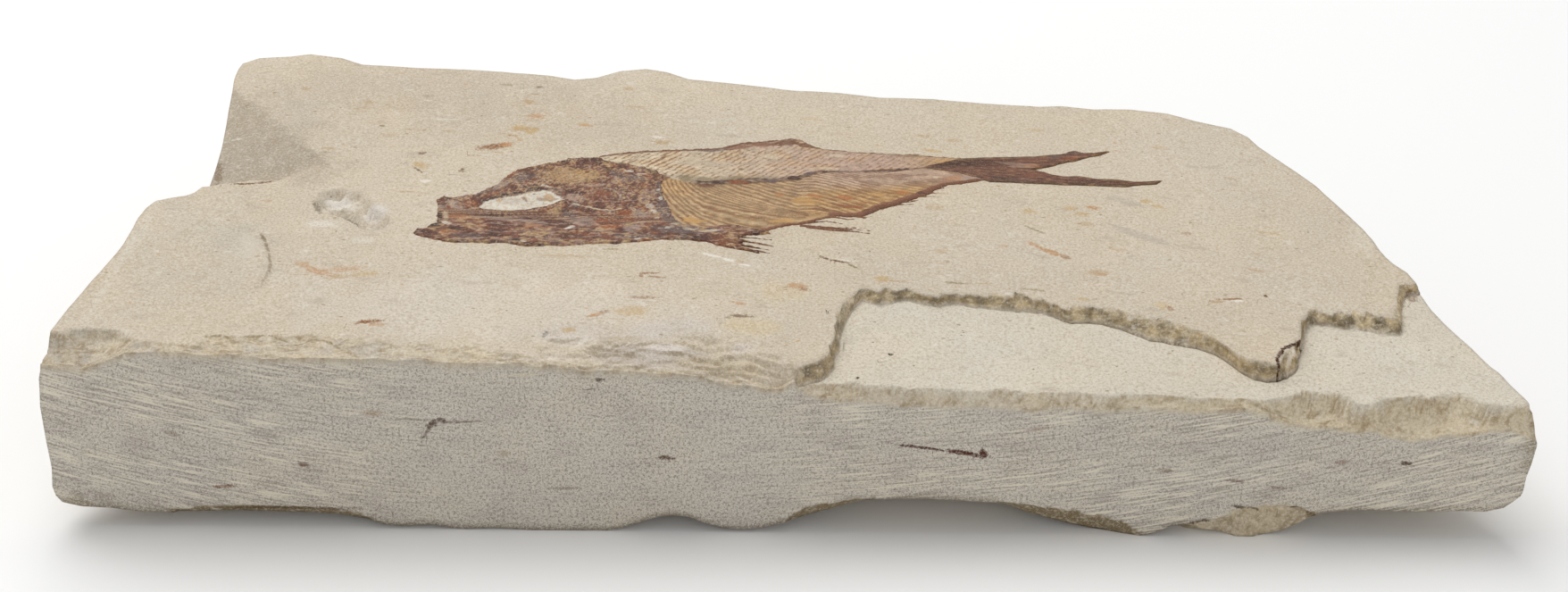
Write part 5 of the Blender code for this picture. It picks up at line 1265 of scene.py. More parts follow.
def rib_start(x, depth):
    """Where on the backbone the rib through a point starts, by Newton's rule."""
    depth = np.maximum(depth, 0.0)
    start = x - depth
    for _ in range(14):
        run = read(RIB_RUN, start) * depth + read(RIB_BEND, start) * depth ** 2
        ahead = read(RIB_RUN, start + 0.1) * depth + read(RIB_BEND, start + 0.1) * depth ** 2
        slope = 1.0 + np.maximum((ahead - run) / 0.1, -0.6)
        start = np.clip(start - 0.7 * (start + run - x) / slope, -40.0, 40.0)
    return start


print("rib through (-10, 47) starts at", rib_start(np.array([-10.0]), np.array([5.4])))

# %% [markdown]
# ## Tones and marks of the fossil
#
# The remains run from near black through wine and rust to lilac grey, with pale stone in the eye
# socket. Each mark below is one visible plate, stain or fleck: its place, half sizes, turn, tone and
# how far it stands out. Strokes are the long thin ones. Noise frays the edge of every one of them.

# %% Tones of the fossil
TONE = {"wine": srgb(130, 84, 64), "dark": srgb(72, 44, 36), "black": srgb(46, 33, 30),
        "slate": srgb(106, 88, 84), "lilac": srgb(162, 140, 128), "pink": srgb(194, 166, 146),
        "rust": srgb(142, 78, 44), "orange": srgb(176, 114, 66), "tan": srgb(184, 150, 106),
        "gold": srgb(196, 152, 92), "cream": srgb(218, 202, 172), "white": srgb(230, 222, 206),
        "olive": srgb(118, 98, 66), "brown": srgb(110, 70, 46), "moss": srgb(136, 120, 92)}
print(len(TONE), "tones")

# %% Marks and strokes of the skull
SKULL_MARKS = [(-33.2, 52.4, 4.6, 2.6, 0, "tan", 0.8), (-36.8, 51.6, 1.8, 1.6, 0, "brown", 0.5),
    (-29.6, 52.6, 1.9, 1.6, 10, "tan", 0.8), (-31, 53.4, 1.2, 0.7, 0, "gold", 0.6),
    (-39.6, 51.4, 1.9, 1.5, 40, "slate", 0.9), (-42.6, 48.6, 1.8, 0.9, 45, "lilac", 0.9),
    (-44.8, 46.3, 1.8, 0.6, 30, "slate", 0.8), (-41.4, 51.9, 0.5, 1.6, -45, "rust", 0.8),
    (-39, 54, 1.5, 0.5, 20, "brown", 0.8), (-37.6, 54, 0.7, 0.5, 0, "dark", 0.9),
    (-36.3, 53.7, 0.5, 0.7, 0, "dark", 0.7), (-34.8, 56, 2, 0.5, 25, "brown", 0.9),
    (-33.6, 57, 1.2, 0.6, 20, "dark", 0.9), (-30.4, 57.7, 2.4, 0.7, 5, "dark", 0.8),
    (-28.2, 56.9, 1.8, 1, -30, "dark", 0.9), (-26.6, 54.6, 1.6, 0.6, -45, "brown", 0.9),
    (-25.4, 53, 2, 0.8, -40, "slate", 0.9), (-23.2, 52.6, 1.8, 0.8, -20, "slate", 0.9),
    (-24.2, 54.6, 0.7, 0.4, 0, "white", 0.7), (-22.2, 53.8, 0.6, 0.3, 0, "white", 0.7),
    (-21, 55, 1.4, 0.5, -30, "olive", 0.8), (-19.4, 53.6, 0.8, 1.2, -60, "brown", 0.9),
    (-27.2, 56.2, 1, 0.4, -20, "gold", 0.7), (-25.6, 57, 1.2, 0.3, -10, "olive", 0.9),
    (-48.4, 42, 2.1, 0.9, -42, "lilac", 0.95), (-46.3, 42.6, 1.6, 1.1, 0, "rust", 0.9),
    (-50.6, 43.4, 0.8, 0.7, 0, "brown", 0.8), (-50.4, 41.2, 0.6, 0.9, 0, "lilac", 0.8),
    (-50.2, 38.3, 0.3, 1.6, 8, "black", 0.9), (-49.4, 38.6, 0.4, 1.4, 15, "cream", 0.7),
    (-47.6, 38.4, 1.8, 1, 0, "orange", 0.6), (-49, 36.4, 0.6, 0.6, 0, "white", 0.7),
    (-48.7, 33.7, 1.6, 0.9, 0, "orange", 0.8), (-47.9, 34.9, 1.2, 0.5, -25, "black", 0.8),
    (-50.6, 35.6, 1.2, 0.5, 15, "black", 0.9), (-52.4, 33.9, 1.4, 0.6, -8, "dark", 0.8),
    (-46, 33, 3, 0.8, -4, "slate", 0.7), (-41.3, 33.4, 1.7, 0.4, -4, "dark", 1),
    (-39.4, 32.2, 1.2, 0.5, -15, "black", 0.8), (-36.2, 31.4, 1.6, 0.4, -5, "dark", 0.9),
    (-37.6, 32, 0.5, 0.3, 0, "white", 0.7), (-40.6, 38.4, 5, 0.5, -3, "lilac", 0.7),
    (-36.6, 38, 2, 0.5, -5, "lilac", 0.8), (-42.6, 39.4, 1.8, 0.5, -6, "dark", 0.7),
    (-37, 36.7, 1.6, 0.9, -5, "orange", 0.55), (-36.6, 34.2, 1.4, 0.6, 10, "tan", 0.8),
    (-35.2, 33.4, 1.8, 0.4, 15, "dark", 0.7), (-45.2, 36, 1.8, 0.6, 0, "tan", 0.6),
    (-33.8, 41.4, 1.4, 1.3, 0, "tan", 0.8), (-32.6, 41.5, 0.9, 0.8, 0, "dark", 0.9),
    (-31.9, 40.4, 1.1, 0.8, -20, "slate", 0.9), (-31.2, 43.7, 0.9, 1.2, 30, "slate", 0.8),
    (-31.6, 45.8, 1.8, 1.3, 0, "pink", 0.6), (-29.6, 38.4, 2.2, 1.6, 0, "lilac", 0.7),
    (-31.5, 36.5, 0.8, 0.35, 35, "white", 0.9), (-27, 38.9, 1.4, 0.8, 20, "rust", 0.85),
    (-26.1, 36.9, 1.3, 0.9, 15, "orange", 0.9), (-26.1, 36.9, 1, 0.6, 15, "rust", 0.6),
    (-23.8, 41.3, 1.2, 1.4, 20, "rust", 0.9), (-23.9, 39.3, 1.5, 0.7, 0, "rust", 0.8),
    (-24.6, 39.9, 0.9, 0.5, 0, "dark", 0.8), (-22.7, 37, 1.6, 1.1, 25, "lilac", 0.8),
    (-24.4, 37.4, 0.7, 0.5, 0, "rust", 0.6), (-21.8, 33.8, 0.7, 0.25, 15, "white", 0.9),
    (-21, 34.6, 4, 0.7, 6, "slate", 0.9), (-27, 47.4, 3, 2.4, 0, "wine", 0.7),
    (-27.6, 47, 1.3, 0.9, 0, "rust", 0.5), (-25.6, 48.6, 2.2, 1, -15, "dark", 0.5),
    (-28.4, 49.6, 1.6, 0.5, 30, "pink", 0.5), (-24.2, 46, 1.8, 1.4, 0, "dark", 0.45),
    (-21.5, 41.2, 1.2, 1.2, 30, "lilac", 0.8), (-20.4, 43.8, 0.7, 1, 20, "white", 0.5),
    (-19.2, 48.6, 0.8, 2.6, 5, "slate", 0.9), (-18.6, 44.2, 1.1, 2.6, 8, "slate", 0.95),
    (-17.3, 40.6, 1.4, 1.9, 25, "slate", 0.95), (-18.9, 46.4, 0.35, 0.6, 0, "white", 0.8),
    (-19.4, 49, 0.3, 0.5, 0, "white", 0.7), (-19.8, 42.2, 0.35, 0.8, 30, "white", 0.7),
    (-16.6, 38.6, 0.9, 0.3, 25, "cream", 0.8), (-19.2, 40.2, 0.5, 0.3, 40, "cream", 0.7),
    (-15.6, 37, 4.2, 1.3, -2, "slate", 0.95), (-17.4, 37.6, 0.6, 0.3, 30, "white", 0.8),
    (-14.4, 37.2, 0.9, 0.25, 0, "white", 0.7), (-12, 36.9, 1.6, 0.3, 8, "white", 0.6),
    (-10.2, 37.4, 0.8, 0.25, 25, "white", 0.6), (-15, 35, 3.6, 0.5, 0, "black", 0.6),
    (-8, 38, 2.6, 1.1, 0, "wine", 0.9), (-5.4, 37.6, 1.6, 0.7, -10, "dark", 0.7),
    (-10.4, 35.3, 1.6, 0.6, -8, "brown", 0.9), (-8.8, 34.5, 1.2, 0.3, -12, "gold", 0.7),
    (-7.6, 36.1, 0.8, 0.25, 10, "cream", 0.7)]
SKULL_STROKES = [([(-50, 44.1), (-48.6, 43.5), (-47.4, 42.8), (-47, 41.7)], 0.45, 0.2, "dark", 0.9),
    ([(-44.6, 43.5), (-43.9, 43.9)], 0.7, 0.5, "black", 0.95),
    ([(-43.4, 44.4), (-41.2, 45.9), (-39.9, 46.5), (-38.4, 47.2), (-37.2, 47.9),
    (-36, 47.8)], 0.35, 0.8, "black", 0.95),
    ([(-38.6, 48.4), (-37.4, 48.6), (-36.6, 48)], 0.9, 0.9, "black", 0.8),
    ([(-36.4, 49), (-35.2, 48.5)], 0.5, 0.4, "white", 0.8),
    ([(-35, 48), (-34, 47.4), (-33.4, 46)], 0.6, 0.5, "slate", 0.9),
    ([(-45.2, 41.6), (-42.6, 40.7), (-40, 40.7), (-38.6, 41.1), (-36.8, 42), (-35, 42.9), (-33.4, 44),
    (-32.5, 44.9)], 0.25, 0.45, "brown", 0.95),
    ([(-33.9, 48.8), (-32.8, 47.6), (-31.6, 47.2), (-29.5, 47.3)], 0.35, 0.3, "dark", 0.85),
    ([(-31.6, 43.8), (-30.1, 43.2), (-27.8, 42.2), (-25.9, 41.9), (-24.2, 42.8)], 0.3, 0.2, "cream", 0.85),
    ([(-30.2, 49.6), (-28.6, 48.8), (-26.2, 48.4), (-24.8, 46.6), (-25, 44.6)], 0.2, 0.2, "pink", 0.6),
    ([(-29.6, 45.2), (-27, 44.6), (-23, 45.2), (-21, 46)], 0.25, 0.15, "pink", 0.5),
    ([(-46.5, 40), (-43, 38.9), (-38, 38.8), (-34, 38.4)], 0.3, 0.2, "dark", 0.5),
    ([(-46, 37.2), (-41, 36.8), (-36, 37.4), (-32, 37.6)], 0.25, 0.25, "lilac", 0.6),
    ([(-45, 34.8), (-42, 34.4), (-38, 34.8)], 0.3, 0.2, "lilac", 0.6),
    ([(-34, 35.6), (-31, 35), (-27.6, 35.2)], 0.35, 0.2, "dark", 0.5),
    ([(-30, 33.6), (-26, 34.6), (-22, 35.8)], 0.3, 0.3, "lilac", 0.6),
    ([(-48.5, 31.6), (-44.6, 31.6), (-40.3, 31.8), (-37.3, 31.2), (-33, 31.6)], 0.5, 0.4, "dark", 0.6),
    ([(-30, 58.2), (-31.7, 58.1), (-33.4, 57.7), (-35, 56.4), (-36.7, 55.7), (-39, 54.6),
    (-40.5, 54)], 0.4, 0.4, "brown", 0.7)]
EYE = [(-45, 41.6), (-44.6, 43.2), (-43.6, 44.3), (-41.7, 45.1), (-40, 45.9), (-38.1, 47), (-36, 47.7),
    (-35, 47.4), (-33.8, 46), (-32.9, 45.1), (-34.2, 43.6), (-36, 42.5), (-38.1, 41.5), (-40.2, 41),
    (-42.4, 41), (-44.3, 41.2)]
EYE_MARKS = [(-40.3, 44, 1.6, 1, 10, "lilac", 0.25), (-38.7, 44.9, 0.3, 0.8, 30, "brown", 0.7),
    (-35.3, 45.5, 1, 1, 20, "tan", 0.8), (-36.2, 45, 0.9, 0.5, 10, "lilac", 0.7),
    (-42.4, 44.2, 0.5, 0.3, 0, "gold", 0.6), (-37.4, 46.4, 0.25, 0.25, 0, "black", 0.6),
    (-34.4, 44.8, 0.9, 0.3, 40, "brown", 0.5)]
print(len(SKULL_MARKS + EYE_MARKS), "marks and", len(SKULL_STROKES), "strokes")

# %% Marks and strokes of the flank
FLANK_MARKS = [(-1.5, 49, 0.9, 0.6, 0, "orange", 0.5), (3.6, 49, 1, 0.5, -10, "orange", 0.7),
    (8, 48.9, 1.2, 0.7, -8, "orange", 0.8), (10.4, 47.4, 0.9, 0.5, 0, "rust", 0.5),
    (8.4, 46.2, 1.8, 0.5, -4, "rust", 0.7), (4.4, 45, 1.4, 0.6, -15, "brown", 0.6),
    (1.4, 43.6, 1.8, 0.5, -25, "brown", 0.6), (6, 44.6, 1.6, 0.4, -15, "brown", 0.6),
    (16.3, 51.2, 1.2, 0.6, 15, "orange", 0.7), (12.8, 50.4, 1.6, 0.5, 5, "gold", 0.6),
    (2.6, 47.4, 2.8, 1, -15, "gold", 0.6), (-14, 40, 1.9, 0.8, -10, "gold", 0.9),
    (-1, 41, 1.8, 0.8, 10, "gold", 0.7), (4, 42.8, 1.6, 0.5, 20, "tan", 0.7),
    (-8, 52.6, 1.5, 0.5, 3, "rust", 0.9), (-12.4, 51.2, 1.8, 0.5, 0, "brown", 0.8),
    (-2.9, 53.4, 1.1, 0.5, 0, "slate", 0.9), (2.6, 55.9, 1.2, 0.4, 35, "slate", 0.8),
    (-15.8, 53.6, 1.4, 0.9, -40, "moss", 0.8), (-12.6, 53.4, 1.6, 0.7, 0, "moss", 0.7),
    (-8.6, 54, 1.5, 0.7, 10, "moss", 0.7), (-18.9, 53.4, 0.9, 1.2, -70, "brown", 0.8),
    (-4.6, 65.6, 3.2, 0.8, 12, "wine", 0.85), (-8, 64.3, 2.4, 0.7, 20, "wine", 0.8),
    (-0.6, 66.6, 2, 1, 8, "brown", 0.85), (1.8, 65.9, 1.8, 0.6, -25, "brown", 0.85),
    (4.4, 65, 1.6, 0.4, -15, "olive", 0.6), (-4, 64.4, 2, 0.5, 0, "pink", 0.4),
    (-12, 62.8, 2.4, 0.5, 8, "slate", 0.8), (-3, 61.6, 1.6, 0.8, 0, "cream", 0.5),
    (6.6, 62.8, 1.6, 0.6, -5, "cream", 0.5), (5.4, 58.2, 1.6, 0.4, 0, "cream", 0.5),
    (-7.4, 57, 0.4, 0.4, 0, "olive", 0.8), (21.6, 56.6, 0.5, 0.5, 0, "cream", 0.6),
    (24, 62, 2.6, 0.6, 0, "gold", 0.6), (17.6, 63.2, 2.4, 0.4, 0, "olive", 0.5),
    (27.2, 56.6, 1.8, 0.7, 0, "lilac", 0.7), (24.2, 56.4, 1.6, 0.9, 20, "orange", 0.5)]
FLANK_STROKES = [([(-28.5, 59.4), (-26, 60.4), (-20, 61.9), (-13, 63.2), (-10.3, 63.9), (-8.4, 65.2),
    (-5.8, 66.3)], 1, 1.2, "brown", 0.75),
    ([(-5.8, 66.3), (-3.4, 66.7), (-0.1, 67.8), (1.2, 67.7)], 0.6, 0.5, "brown", 0.7),
    ([(5, 64.8), (10.9, 64), (14.7, 63.8), (19.4, 63.8), (26.1, 63.2)], 0.35, 0.5, "olive", 0.7),
    ([(-20.9, 57.4), (-19.6, 59), (-18.8, 60.4)], 0.35, 0.2, "brown", 0.7),
    ([(-24.2, 57.8), (-22.6, 60)], 0.3, 0.2, "brown", 0.5),
    ([(-26.3, 57.7), (-25.1, 59.5)], 0.5, 0.3, "cream", 0.9),
    ([(-6, 37.4), (-3.6, 38), (-1.9, 39.2), (0.4, 40), (3.4, 41), (4.8, 41.9)], 1.1, 0.5, "wine", 0.9),
    ([(6, 43.6), (8.2, 43.5), (9.9, 43.8), (11.3, 44.8), (12.4, 46.2), (15.1, 47.9), (17.6, 49.6),
    (20, 51.6), (21.4, 53.1), (23.4, 54.4), (25.3, 55), (28, 55.8)], 1.1, 1.4, "wine", 0.95),
    ([(11, 44.2), (12.6, 45.6), (15.6, 47.5), (18, 49.4)], 0.6, 0.6, "dark", 0.7),
    ([(10.6, 45), (13.8, 46.9), (16.6, 47.7), (19.3, 47.9)], 0.5, 0.3, "brown", 0.9),
    ([(19, 51.4), (21, 51)], 0.7, 0.4, "dark", 0.8),
    ([(2.6, 39.6), (6, 39.3), (9.6, 39.4)], 1.1, 0.6, "wine", 0.95),
    ([(7, 38.9), (9.8, 38.7), (12, 38.3)], 0.5, 0.3, "dark", 0.8),
    ([(10, 39.9), (12.4, 40.2)], 0.4, 0.3, "gold", 0.7),
    ([(3.4, 41), (5.2, 41.5), (8, 40.9)], 0.6, 0.4, "dark", 0.9)]
print(len(FLANK_MARKS), "marks and", len(FLANK_STROKES), "strokes")

# %% Marks and strokes of the tail fin
TAIL_MARKS = [(28, 61.6, 6, 1.4, 5, "dark", 0.65), (24, 60.4, 4, 1, 12, "black", 0.45),
    (34.6, 61.4, 3, 0.8, -3, "pink", 0.35), (37, 61.2, 1.5, 0.4, -8, "orange", 0.5),
    (33.4, 56.6, 3.2, 0.7, 0, "slate", 0.4), (31.4, 57, 1.6, 0.5, -5, "black", 0.6),
    (37.4, 58.2, 3.2, 1, -5, "wine", 0.9), (36.8, 63.6, 3.4, 0.7, 3, "wine", 0.8),
    (42.4, 64.2, 1.6, 0.6, 10, "rust", 0.7), (43.2, 66.2, 1.6, 0.6, 0, "slate", 0.6),
    (40.2, 64.4, 0.9, 0.8, 0, "slate", 0.6), (50.6, 56.8, 3, 0.5, 0, "brown", 0.7),
    (46.4, 66.2, 2.2, 0.4, 8, "brown", 0.8), (44.6, 57, 3.6, 0.8, 0, "dark", 0.55)]
TAIL_STROKES = [([(21, 60.8), (25, 62.4), (30.8, 63.6), (37.1, 64.4),
    (41.3, 65.6)], 0.5, 0.4, "olive", 0.7),
    ([(37.9, 59.6), (39.4, 58.9), (43.2, 58.6), (46.4, 57.8), (51.6, 57.3),
    (56, 58.2)], 0.5, 0.3, "olive", 0.8),
    ([(30, 56), (34.9, 56.1), (42.5, 56), (48, 55.9), (51, 56.1)], 0.5, 0.5, "dark", 0.6)]
print(len(TAIL_MARKS), "marks and", len(TAIL_STROKES), "strokes")

# %% Laying marks and strokes
def blots(colour, x, y, marks, ragged):
    """Lays marks over a colour: inside a turned ellipse whose edge is moved by noise."""
    for mark_x, mark_y, half_x, half_y, turn, tone, strength in marks:
        near = np.flatnonzero(np.hypot(x - mark_x, y - mark_y) < 1.7 * max(half_x, half_y) + 0.4)
        spread = turned_spread(x[near], y[near], mark_x, mark_y, half_x, half_y, turn)
        mask = smooth((1.15 - spread + 0.7 * ragged[near]) / 0.4) * strength
        colour[near] = paint(colour[near], TONE[tone], mask)
    return colour


def strokes(colour, x, y, ways, ragged):
    """Lays strokes over a colour: within half a width of a line, with an edge moved by noise."""
    for way, start, end, tone, strength in ways:
        low, high = np.min(way, axis=0) - 1.5, np.max(way, axis=0) + 1.5
        near = np.flatnonzero((x > low[0]) & (x < high[0]) & (y > low[1]) & (y < high[1]))
        away = way_distance(x[near], y[near], way, start, end)
        mask = smooth((0.12 - away + 0.22 * ragged[near]) / 0.2) * strength
        colour[near] = paint(colour[near], TONE[tone], mask)
    return colour

# %% [markdown]
# ## The relief
#
# Each part of the fish is one closed grid over the stone. Its height is that of the bare bed plus the
# part's own lift. Past the outline it dips just under the stone, so the frayed edge is a real edge
# and needs no picture with holes.

# %% One closed relief
MARGIN_DIP, FILM_DEPTH = 0.14, 0.3   # how far a margin lies under the bed, and the underside under that


def bed_surface(x, y):
    """Height of the bare bedding face where the fish lies."""
    return bedding(x) + undulation(x, y)


def fish_piece(name, low, high, columns, rows, shape):
    """One closed relief: a grid over the part and a margin round it, whose height is the bed plus the
    part's own lift inside its outline and just under the bed outside it; the underside is flat."""
    across = np.linspace(low[0][0], low[-1][0], columns)
    bottom, top = read(low, across), read(high, across)
    share = np.linspace(0, 1, rows)
    x = np.repeat(across, rows)
    y = (bottom[:, None] + (top - bottom)[:, None] * share[None]).ravel()
    inside, lift, colour = shape(x, y)
    z = bed_surface(x, y) - MARGIN_DIP + (MARGIN_DIP + lift) * smooth((inside + 0.08) / 0.24)
    points = np.column_stack((x, y, z))
    edge = perimeter_points(np.arange(columns * rows).reshape(columns, rows))
    under = points[edge] - (0.0, 0.0, FILM_DEPTH)
    under_index = len(points) + np.arange(len(edge))
    walls = np.stack((under_index, np.roll(under_index, -1), np.roll(edge, -1), edge), axis=-1)
    front = under_index[:columns]
    back = under_index[columns + rows - 2:2 * columns + rows - 2][::-1]
    floor = np.stack((front[:-1], back[:-1], back[1:], front[1:]), axis=-1)
    sides = (under_index[columns - 1:columns + rows - 1],
             np.concatenate((under_index[2 * columns + rows - 3:], under_index[:1])))
    fans = [np.stack((np.full(len(side) - 2, side[0]), side[2:], side[1:-1]), axis=-1) for side in sides]
    quads = np.concatenate((grid_faces(columns, rows), walls, floor))
    thing = new_mesh_object(name, np.concatenate((points, under)), quads, np.concatenate(fans))
    add_colour(thing, "tint", np.concatenate((colour, colour[edge])))
    thing.data.materials.append(bone_material)
    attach(thing, "root")
    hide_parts("fossil_fish")
    return thing

# %% [markdown]
# ## Skull
#
# The skull is cracked bone: wine and lilac plates, rusty and dark grains, thin cracks where a noise
# passes through nought, and pale stone in the eye socket. The shoulder is slate along its back edge.

# %% Skull, shoulder and pectoral fin
def mottle(x, y, stretch, seed):
    """Three noises for one part: coarse, middle and fine, drawn out along x by the stretch."""
    return [rough(x / stretch, y, 0.0, size, 2, seed + size) for size in (2.2, 0.9, 0.42)]


def skull_shape(x, y):
    """Outline, lift and colour of the skull, the shoulder and the pectoral fin."""
    stretch = 1.0 + 1.2 * smooth((41.0 - y) / 3.0)
    coarse, middle, fine = mottle(x, y, stretch, 40)
    ragged = 0.6 * middle + 0.6 * fine
    inside = signed_distance(x, y, SKULL) + 0.25 * ragged
    inside = np.maximum(inside, signed_distance(x, y, FIN_WEB) + 0.5 * fine)
    for way, root, tip in PECTORAL_RAYS:
        inside = np.maximum(inside, -way_distance(x, y, way, root, tip) + 0.06 * fine)
    eye = signed_distance(x, y, EYE) + 0.35 * ragged
    colour = plain(TONE["wine"], x)
    colour = layered(colour, TONE, [
        ("lilac", smooth((coarse - 0.12) / 0.25) * 0.5), ("dark", smooth((-coarse - 0.1) / 0.25) * 0.6)])
    flecks = rough(x / stretch, y, 0.0, 0.6, 2, 71)
    colour = layered(colour, TONE, [
        ("rust", smooth((rough(x / stretch, y, 0.0, 1.5, 2, 73) - 0.12) / 0.2) * 0.5),
        ("dark", smooth((rough(x / stretch, y, 0.0, 1.1, 2, 74) - 0.12) / 0.2) * 0.5),
        ("tan", smooth((flecks - 0.05) / 0.18) * smooth((coarse + 0.35) / 0.4) * 0.6)])
    colour = blots(colour, x, y, SKULL_MARKS, ragged)
    colour = strokes(colour, x, y, SKULL_STROKES, ragged)
    ray = (x > -11.5) * (y < 36.6) * smooth((x + 11.5) / 2.0)
    colour = layered(colour, TONE, [
        ("brown", ray * 0.8), ("rust", ray * smooth((-9.5 - x + 4.0) / 5.0) * 0.5)])
    # cracked bone: thin lines where a noise passes through nought, and a few bright and dark grains
    colour = layered(colour, TONE, [
        ("tan", smooth((flecks - 0.12) / 0.16) * smooth((coarse + 0.35) / 0.4) * 0.6),
        ("cream", smooth((0.05 - np.abs(middle + 0.1)) / 0.04) * smooth((coarse + 0.1) / 0.3) * 0.6),
        ("dark", smooth((0.05 - np.abs(coarse - 0.05)) / 0.04) * 0.6),
        ("dark", smooth((0.04 - np.abs(middle - 0.15)) / 0.04) * 0.5),
        ("black", smooth((middle - 0.34) / 0.15) * 0.4), ("pink", smooth((fine - 0.34) / 0.12) * 0.45),
        ("dark", smooth((-fine - 0.3) / 0.2) * 0.4)])
    # the bones of the shoulder, along the back edge of the skull, are slate with a few bright chips
    shoulder = smooth((2.6 + 1.5 * coarse - inside) / 1.6)
    shoulder = shoulder * smooth((x + 19.0) / 2.0) * smooth((y - 37.5) / 3.0)
    colour = paint(colour, TONE["dark"] * 1.25, shoulder * np.clip(0.65 + 1.2 * middle, 0.0, 1.0))
    colour = paint(colour, TONE["lilac"] * 1.2, shoulder * smooth((flecks - 0.1) / 0.1) * 0.7)
    in_eye = smooth((eye + 0.05) / 0.15)
    lens = plain(TONE["white"] * 0.86, x)
    lens = blots(lens, x, y, EYE_MARKS, ragged)
    lens = layered(lens, TONE, [
        ("tan", smooth((flecks - 0.1) / 0.2) * 0.45),
        ("brown", smooth((0.3 - eye) / 0.35) * smooth((middle + 0.2) / 0.3) * 0.7)])
    lens = lens * (1.0 + 0.10 * coarse + 0.14 * fine)[:, None]
    colour = colour * (1 - in_eye)[:, None] + lens * in_eye[:, None]
    bone = 0.26 + 0.10 * coarse + 0.07 * middle + 0.05 * fine
    lift = np.maximum(bone, 0.1) * (1 - in_eye) + 0.12 * in_eye
    return inside, lift, colour


print("skull over", np.ptp(np.array(SKULL), axis=0).round(1), "mm")

# %% [markdown]
# ## Flank
#
# The backbone runs through a flank of thin film: brown ribs below it, which follow the rib field and
# lie a little higher than the stone between them, and slanting bones above it.

